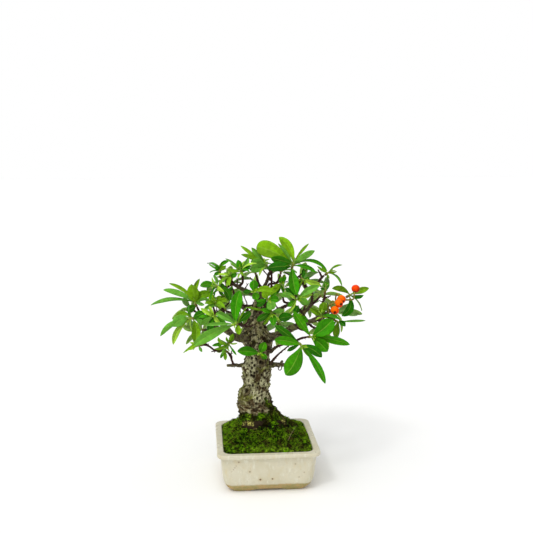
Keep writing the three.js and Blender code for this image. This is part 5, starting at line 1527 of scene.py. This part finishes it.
def square_reach(half, angle):
    inner = half - POT_CORNER_RADIUS
    c = np.abs(np.cos(angle))
    s = np.abs(np.sin(angle))
    straight = half / np.maximum(c, s)
    along = inner * (c + s)
    rest = 2 * inner * inner - POT_CORNER_RADIUS ** 2
    round_reach = along + np.sqrt(np.maximum(0, along * along - rest))
    return np.where(straight * np.minimum(c, s) <= inner, straight, round_reach)


def moss_ground(share, angle):
    """Points of the moss mound. share runs from the trunk to the pot's wall."""
    x, half = trunk_at(0)
    hole = half + root_reach(angle, 0) + HOLE_CLEARANCE
    reach = square_reach(half_width(POT_INSIDE[::-1], MOSS_EDGE) - 0.15, angle)
    start_x = x + hole * np.cos(angle)
    start_y = TRUNK_Y + hole * np.sin(angle)
    px = start_x + (reach * np.cos(angle) - start_x) * share
    py = start_y + (reach * np.sin(angle) - start_y) * share
    near = np.where(angle > math.pi, angle - TURN, angle)
    contact = MOSS_CONTACT - ROOT_CONTACT_DROP * np.exp(-((near / ROOT_CONTACT_SPREAD) ** 2))
    mound = MOSS_EDGE + (contact - MOSS_EDGE) * np.clip(1 - share, 0, 1.1) ** 1.25
    fade = np.minimum(1, 4 * (1 - share)) * np.minimum(1, 0.4 + 3 * share)
    waves = np.sin(px * 0.62 + 1.3) * np.sin(py * 0.71) + 0.7 * np.sin(px * 0.31 - py * 0.43 + 2)
    pz = mound + MOSS_RELIEF * np.clip(fade, 0, 1) * waves
    points = np.stack([px, py, pz], axis=-1)
    tufts = noise_at(points * [1, 1, 0.3], 1.7, 3, 11)
    points[..., 2] += 0.55 * tufts * smooth(1.0, 0.9, share) - 0.9 * smooth(0.97, 1.0, share)
    return points, tufts


def moss_tone(points, lift, lucky):
    """Colours of moss: bright near the wall and on the tufts, partly as painted light, with painted shade
    between the tufts and in hollows, brown where it is thin
    """
    patch = noise_at(points, 9, 2, 12)
    wall = smooth(37, 33, points[..., 2])
    # Painted shade: darker where the ground lies lower between the tufts, and brighter on the tufts, partly
    # as painted light
    tones = mix(MOSS_DARK, MOSS_MID, smooth(-0.25, 0.1, lift))
    tones = mix(tones, MOSS_BRIGHT, smooth(0.0, 0.55, lift + 0.4 * patch + 0.4 * (lucky - 0.5)))
    dry = smooth(-0.1, 0.4, noise_at(points, 11, 2, 24) + 0.35 * wall) * smooth(0.3, 0.8, lucky)
    tones = mix(tones, MOSS_YELLOW, 0.65 * dry)
    thin = smooth(0.02, 0.3, noise_at(points, 5, 3, 13) + 0.05 - 0.3 * wall)
    x_seen, z_seen = picture_place(points)
    for x, z, wide, tall in MOSS_WORN:
        reach = np.hypot((x_seen - x) / wide, (z_seen - z) / tall)
        thin = np.maximum(thin, smooth(1.2, 0.8, reach) * smooth(20, 0, -points[..., 1]))
    tones = mix(tones, MOSS_BROWN, 0.85 * thin)
    strands = noise_at(points * [0.5, 1, 1], 1.0, 2, 25)
    # Painted shade in patches that stand for hollows in the moss, with less of it near the wall
    out_of_hollow_shade = smooth(-0.3, 0.15, noise_at(points, 6, 2, 26) + 0.25 * wall)
    return tones * ((0.3 + 1.45 * smooth(-0.35, 0.4, strands)) * (0.5 + 0.62 * out_of_hollow_shade))[..., None]


def add_sprigs(form, roots, outs, tones, chance, tall):
    """Slim pointed moss sprigs, each leaning its own way"""
    draws = many(chance, 3 * len(roots), -1, 1).reshape(-1, 3)
    lean = outs + draws * SPRIG_LEAN
    lean /= np.linalg.norm(lean, axis=1)[:, None]
    side = np.cross(lean, draws[:, ::-1] + [0.01, 0.02, 0.03])
    side /= np.linalg.norm(side, axis=1)[:, None]
    other = np.cross(lean, side)
    corners = [roots + (side * math.cos(a) + other * math.sin(a)) * SPRIG_WIDTH - lean * 0.2
               for a in (0, TURN / 3, 2 * TURN / 3)]
    points = np.stack([*corners, roots + lean * tall[:, None]], axis=1)
    first = np.arange(len(roots))[:, None] * 4
    faces = np.vstack([first + face for face in [(0, 1, 3), (1, 2, 3), (2, 0, 3)]]).tolist()
    # Each sprig is painted dark at its foot, as painted shade down in the carpet, and bright at its tip,
    # partly its own fresh colour and partly painted light
    dark = tones * 0.5
    colors = np.stack([dark, dark, dark, tones * 1.35], axis=1)
    form.add(points.reshape(-1, 3), faces, colors.reshape(-1, 3))


def moss_form(chance):
    form = Form()
    shares = np.linspace(MOSS_INNER_SHARE, 1.0, MOSS_RINGS)
    angles = np.arange(MOSS_SECTORS) / MOSS_SECTORS * TURN
    share, angle = np.meshgrid(shares, angles, indexing="ij")
    ground, tufts = moss_ground(share, angle)
    # The ground under the sprigs is painted at half brightness, as painted shade under them
    tones = moss_tone(ground, tufts - 0.5, 0.5) * 0.5
    skirt = ground[-1:].copy()
    skirt[..., 2] = MOSS_EDGE - MOSS_THICKNESS
    rings = np.concatenate([ground, skirt])
    tones = np.concatenate([tones, tones[-1:]])
    form.add_rings(rings[::-1], tones[::-1], ends=False)
    sprig_shares = np.sqrt(many(chance, MOSS_SPRIGS)) * MOSS_SPRIG_REACH
    roots, lift = moss_ground(sprig_shares, many(chance, MOSS_SPRIGS, 0, TURN))
    lucky = many(chance, MOSS_SPRIGS)
    tall = 0.6 + 0.5 * lucky + 0.9 * smooth(-0.1, 0.4, lift)
    add_sprigs(form, roots, UP, moss_tone(roots, lift, lucky), chance, tall)
    add_strands(form, chance)
    return form


def add_strands(form, chance):
    """Pale runners that lie on the moss, and a dry straw"""
    shares = many(chance, MOSS_STRANDS, 0.1, 0.9)
    roots, _ = moss_ground(shares, many(chance, MOSS_STRANDS, 0, TURN))
    heading = many(chance, MOSS_STRANDS, 0, TURN)
    outs = np.stack([1.6 * np.cos(heading), np.sin(heading), np.full(MOSS_STRANDS, 0.5)], axis=1)
    lucky = many(chance, MOSS_STRANDS, 0.5, 1.4)
    tones = mix(MOSS_YELLOW, MOSS_BRIGHT, smooth(0.8, 1.0, lucky)) * lucky[:, None]
    add_sprigs(form, roots + UP * 0.4, outs, tones, chance, 1.6 + lucky)
    add_branch(form, curve_of(STRAW_SEEN), "straw", chance, STRAW_TONE)


def climbing_moss_form(bark, chance):
    """Moss on the foot of the trunk, highest on the root to the right"""
    form = Form()
    points = bark.points().reshape(-1, 3)
    weights = np.where(bark.z > 40, bark.cover, 0).ravel()
    chosen = chance.choices(range(len(points)), weights.tolist(), k=ROOT_SPRIGS)
    roots = points[chosen]
    outs = bark.out.reshape(-1, 3)[chosen] * 0.7 + UP * 0.5
    lucky = many(chance, ROOT_SPRIGS)
    lift = 0.3 + noise_at(roots, 4, 2, 15)
    add_sprigs(form, roots, outs, moss_tone(roots, lift, lucky), chance, 0.5 + 0.9 * lucky)
    return form


# Pot


def chaikin(points, rounds):
    points = np.array(points, float)
    for _ in range(rounds):
        first = points[:-1] * 0.75 + points[1:] * 0.25
        second = points[:-1] * 0.25 + points[1:] * 0.75
        points = np.vstack([points[:1], np.stack([first, second], axis=1).reshape(-1, 2), points[-1:]])
    return points


def square_ring(half, z):
    """A square with round corners, as points at one height"""
    inner = half - POT_CORNER_RADIUS
    turns = np.linspace(0, TURN / 4, POT_CORNER_STEPS + 1)
    corner = inner + POT_CORNER_RADIUS * np.array([np.cos(turns), np.sin(turns)])
    straight = inner * (1 - 2 * np.arange(1, SIDE_POINTS + 1) / (SIDE_POINTS + 1))
    x, y = np.hstack([corner, [straight, np.full(SIDE_POINTS, half)]])
    return np.stack([np.hstack([x, -y, -x, y]), np.hstack([y, x, -y, -x]), np.full(4 * len(x), z)], axis=1)


def pot_piece(material):
    profile = chaikin(POT_OUTSIDE + POT_INSIDE, 2)
    form = Form()
    form.add_rings([square_ring(half, z) for half, z in profile], POT_TONE)
    pot = make_piece("glazed_pot", form, material, ["pot"])
    cutters = [channel_cutter(0), channel_cutter(TURN / 4), drain_cutter()]
    for cutter in cutters:
        cut = pot.modifiers.new("cut", "BOOLEAN")
        cut.operation = "DIFFERENCE"
        cut.object = cutter
        cut.solver = "EXACT"
    graph = bpy.context.evaluated_depsgraph_get()
    pot_mesh = bpy.data.meshes.new_from_object(pot.evaluated_get(graph))
    pot.modifiers.clear()
    pot.data = pot_mesh
    for cutter in cutters:
        bpy.data.objects.remove(cutter)
    return pot


def cutter_object(name, rings):
    form = Form()
    form.add_rings(rings, (1, 1, 1))
    return add_mesh(name, form.in_frame(), form.faces)


def channel_cutter(turn):
    """A shallow channel under the pot that leaves a foot at each corner"""
    ahead = RIGHT * math.cos(turn) + BACK * math.sin(turn)
    side = BACK * math.cos(turn) - RIGHT * math.sin(turn)
    rings = [[ahead * x + side * y + UP * z for x, z in FOOT_CHANNEL] for y in CHANNEL_ENDS]
    return cutter_object("channel", rings)


def drain_cutter():
    circle = ring_round(0, RIGHT, BACK, [DRAIN_RADIUS] * DRAIN_SIDES)
    return cutter_object("drain", [circle + UP * z for z in DRAIN_LEVELS])


# Berries


def dimple(angle, depth, width):
    return depth * math.exp(-((angle / width) ** 2))


def berry_form(berry):
    """A berry from its stalk to its crown: dimpled at both ends, with painted light on the side toward the
    key light and painted shade on the side away from it
    """
    name, at, radius, crown, _ = berry
    middle = place(*at)
    axis = way(*crown)
    if crown[2] > 0:
        axis = unit(axis + CROWN_TILT * unit(VIEWPOINT - middle))
    side, other = sideways(axis)
    shaded_skin, paler = BERRY_TONES[name.split("_")[1]]
    lobes = BERRY_LOBE_RISE * np.cos(BERRY_LOBES * np.arange(BERRY_SIDES) / BERRY_SIDES * TURN)
    rings, colors = [], []
    for angle in np.linspace(BERRY_POLE, math.pi - BERRY_POLE, BERRY_RINGS):
        from_crown = math.pi - angle
        width = math.sin(angle)
        height = -math.cos(angle) * BERRY_LENGTH
        height += dimple(angle, *STALK_DIMPLE) - dimple(from_crown, *CROWN_DIMPLE)
        radii = radius * width * (1 + lobes * width)
        ring = ring_round(middle + axis * radius * height, side, other, radii)
        rings.append(ring)
        # Painted light on the side toward the key light at the upper left front, and painted shade on the
        # side away from it
        painted_light = 0.5 + 0.5 * (ring - middle) @ unit(UP * 0.7 - [0.5, 0.5, 0]) / radius
        skin = mix(shaded_skin, paler, smooth(0.3, 0.95, painted_light))
        ends = smooth(0.5, 0.2, angle) + smooth(0.5, 0.25, from_crown)
        colors.append(mix(skin, BERRY_END, 0.6 * ends))
    form = Form()
    form.add_rings(rings, np.array(colors))
    add_crown(form, middle + axis * radius * 0.82, axis, side, other, radius)
    return form


def add_crown(form, point, axis, side, other, radius):
    """Dry sepals folded over the berry's end"""
    dark = CROWN_TONE
    for out in ring_round(0, side, other, [1] * SEPALS):
        cross = np.cross(axis, out)
        rings = []
        for along, width, lift in SEPAL_RINGS:
            middle = point + out * along * radius + axis * lift * radius
            wide = cross * width * radius
            deep = axis * SEPAL_THICKNESS * radius
            corners = (wide - deep, wide + deep, deep - wide, -wide - deep)
            rings.append([middle + corner for corner in corners])
        form.add_rings(rings, dark)
    add_bud(form, point - axis * 0.1 * radius, axis, radius * 0.2, radius * 0.1, dark * 0.7)


# Stage


def make_stage():
    corners = [[x * FLOOR_REACH, y * FLOOR_REACH, 0] for x, y in ((-1, -1), (1, -1), (1, 1), (-1, 1))]
    floor = add_mesh("floor", corners, [(0, 1, 2, 3)])
    shader = Shader("floor", Specular_IOR_Level=0.1)
    floor.data.materials.append(shader.finish(shader.blend(shader.noise(FLOOR_CLOUD), *FLOOR_WHITES), 0.9))


def make_light(name, direction, strength, spread):
    """Light from far away, soft because it comes from a wide part of the sky"""
    data = bpy.data.lights.new(name, "SUN")
    data.energy = strength
    data.angle = math.radians(spread)
    look_along(add_object(name, data), -Vector(direction))


def look_along(thing, direction):
    """Turns a light or the camera that way"""
    thing.rotation_mode = "QUATERNION"
    thing.rotation_quaternion = direction.to_track_quat("-Z", "Y")


def make_lights():
    """A white room round the tree, brighter overhead and dimmer as a light than it looks, and a key
    from the upper left whose narrow part gives the berries and the glaze their highlights"""
    world = bpy.data.worlds.new("studio")
    world.use_nodes = True
    tree = world.node_tree
    across_sky = add_node(tree, "ShaderNodeTexCoord").outputs["Generated"]
    height = add_node(tree, "ShaderNodeSeparateXYZ", {0: across_sky}).outputs[2]
    limits = {"From Min": -0.1, "From Max": 0.8, "To Min": ROOM_LIGHT_LOW, "To Max": ROOM_LIGHT_HIGH}
    brighter = add_node(tree, "ShaderNodeMapRange", {"Value": height, **limits}).outputs[0]
    room = tree.nodes["Background"]
    feed(room.inputs["Color"], WHITE)
    feed(room.inputs["Strength"], brighter)
    seen = add_node(tree, "ShaderNodeBackground", {"Color": WHITE}).outputs[0]
    looked_at = add_node(tree, "ShaderNodeLightPath").outputs["Is Camera Ray"]
    chosen = add_node(tree, "ShaderNodeMixShader", {0: looked_at, 1: room.outputs[0], 2: seen}).outputs[0]
    feed(tree.nodes["World Output"].inputs["Surface"], chosen)
    bpy.context.scene.world = world
    bpy.context.scene.view_settings.view_transform = "Standard"
    make_light("key", KEY_FROM, KEY_LIGHT, KEY_SPREAD)
    make_light("glint", KEY_FROM, GLINT_LIGHT, GLINT_SPREAD)


def make_camera():
    data = bpy.data.cameras.new("camera")
    data.lens = LENS
    data.sensor_width = SENSOR_WIDTH
    data.clip_start = CLIP_START
    camera = add_object("camera", data)
    camera.location = Vector(VIEWPOINT * MM + FRAME_SHIFT)
    turn, pitch = math.radians(VIEW_TURN), math.radians(VIEW_PITCH)
    back = Vector((math.sin(turn) * math.cos(pitch), -math.cos(turn) * math.cos(pitch), math.sin(pitch)))
    look_along(camera, -back)
    bpy.context.scene.camera = camera


# The whole tree


def filled_space(wood_curves, leaf_twigs, shoots):
    """The space with all the wood, the trunk, the berries and the stems of the shoots in it"""
    space = Space()
    for curve in wood_curves:
        space.add_branch(curve, "wood")
    for curve, shoot in zip(leaf_twigs, shoots):
        space.add_branch(curve, shoot.twig)
    add_trunk_to(space)
    for name, at, radius, _, _ in BERRIES:
        space.add(place(*at), solid_radius(radius), name)
    for shoot in shoots:
        for along in (-SHOOT_BEHIND, 0, SHOOT_AHEAD):
            space.add(shoot.point + shoot.axis * along, SHOOT_CORE, shoot.name)
    return space


def grow_leaves(space, shoots, chance):
    draws = repeatable(RANDOM_SEED)
    for shoot in shoots:
        grow_picture_leaves(space, shoot)
    for shoot in shoots:
        grow_spiral_leaves(space, shoot, range(shoot.more), lambda: next(draws), chance,
                           SMALL_LEAF_TONES, SMALL_LEAF_LENGTH, LEAF_CLEARANCE)
    for shoot in shoots:
        grow_fine_leaves(space, shoot, chance)


def wood_form(bark, limbs, bare_twigs, leaf_twigs, stalks, space, chance):
    """The trunk, the limbs, twigs and side twigs with their spurs, the tendril and the stalks"""
    form = Form()
    form.add_rings(bark.points(), bark.colors)
    for curve in limbs:
        add_branch(form, Curve(curve.points, np.multiply(curve.radii, LIMB_SLIMNESS)), "limb", chance)
        add_spurs(form, curve, chance)
    for index, curve in enumerate(bare_twigs):
        if index in STUBS:
            add_branch(form, curve, "stub", chance)
        else:
            tapered = Curve(curve.points, [*curve.radii[:-1], curve.radii[-1] * TWIG_TAPER])
            add_branch(form, tapered, "bare twig", chance)
        add_spurs(form, curve, chance)
    for curve in leaf_twigs:
        add_branch(form, curve, "leafy twig", chance)
        add_spurs(form, curve, chance)
    for curve in grow_twiglets(space, limbs + bare_twigs, chance):
        add_branch(form, curve, "twiglet", chance)
        add_spurs(form, curve, chance)
    add_branch(form, curve_of(TENDRIL), "tendril", chance)
    for curve in stalks:
        add_branch(form, curve, "stalk", chance, STALK_TONE)
    return form


chance = random.Random(7)
limbs = [curve_of(rows) for rows in LIMBS]
bare_twigs = [curve_of(rows) for rows in BARE_TWIGS]
stalks = [berry_stalk(berry) for berry in BERRIES]
shoots = [Shoot(row, index) for index, row in enumerate(SHOOTS)]
leaf_twigs = [twig_for(shoot, limbs + bare_twigs) for shoot in shoots]
space = filled_space(limbs + bare_twigs + stalks, leaf_twigs, shoots)
grow_leaves(space, shoots, chance)

leaf = leaf_material()
for shoot in shoots:
    make_piece("leaves_" + shoot.label, shoot_form(shoot, chance), leaf, [shoot.name])

bark = make_bark(chance)
wood = wood_form(bark, limbs, bare_twigs, leaf_twigs, stalks, space, chance)
make_piece("bark_and_twigs", wood, bark_material(), ["wood"])

moss = moss_material()
make_piece("moss_carpet", moss_form(chance), moss, ["moss"])
make_piece("moss_on_roots", climbing_moss_form(bark, chance), moss, [])
pot_piece(glaze_material())
berry_skin = berry_material()
for berry in BERRIES:
    make_piece(berry[0] + "_skin", berry_form(berry), berry_skin, [berry[0]])

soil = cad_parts["soil"]
soil.data.materials.clear()
soil.data.materials.append(soil_material())

make_stage()
make_lights()
make_camera()
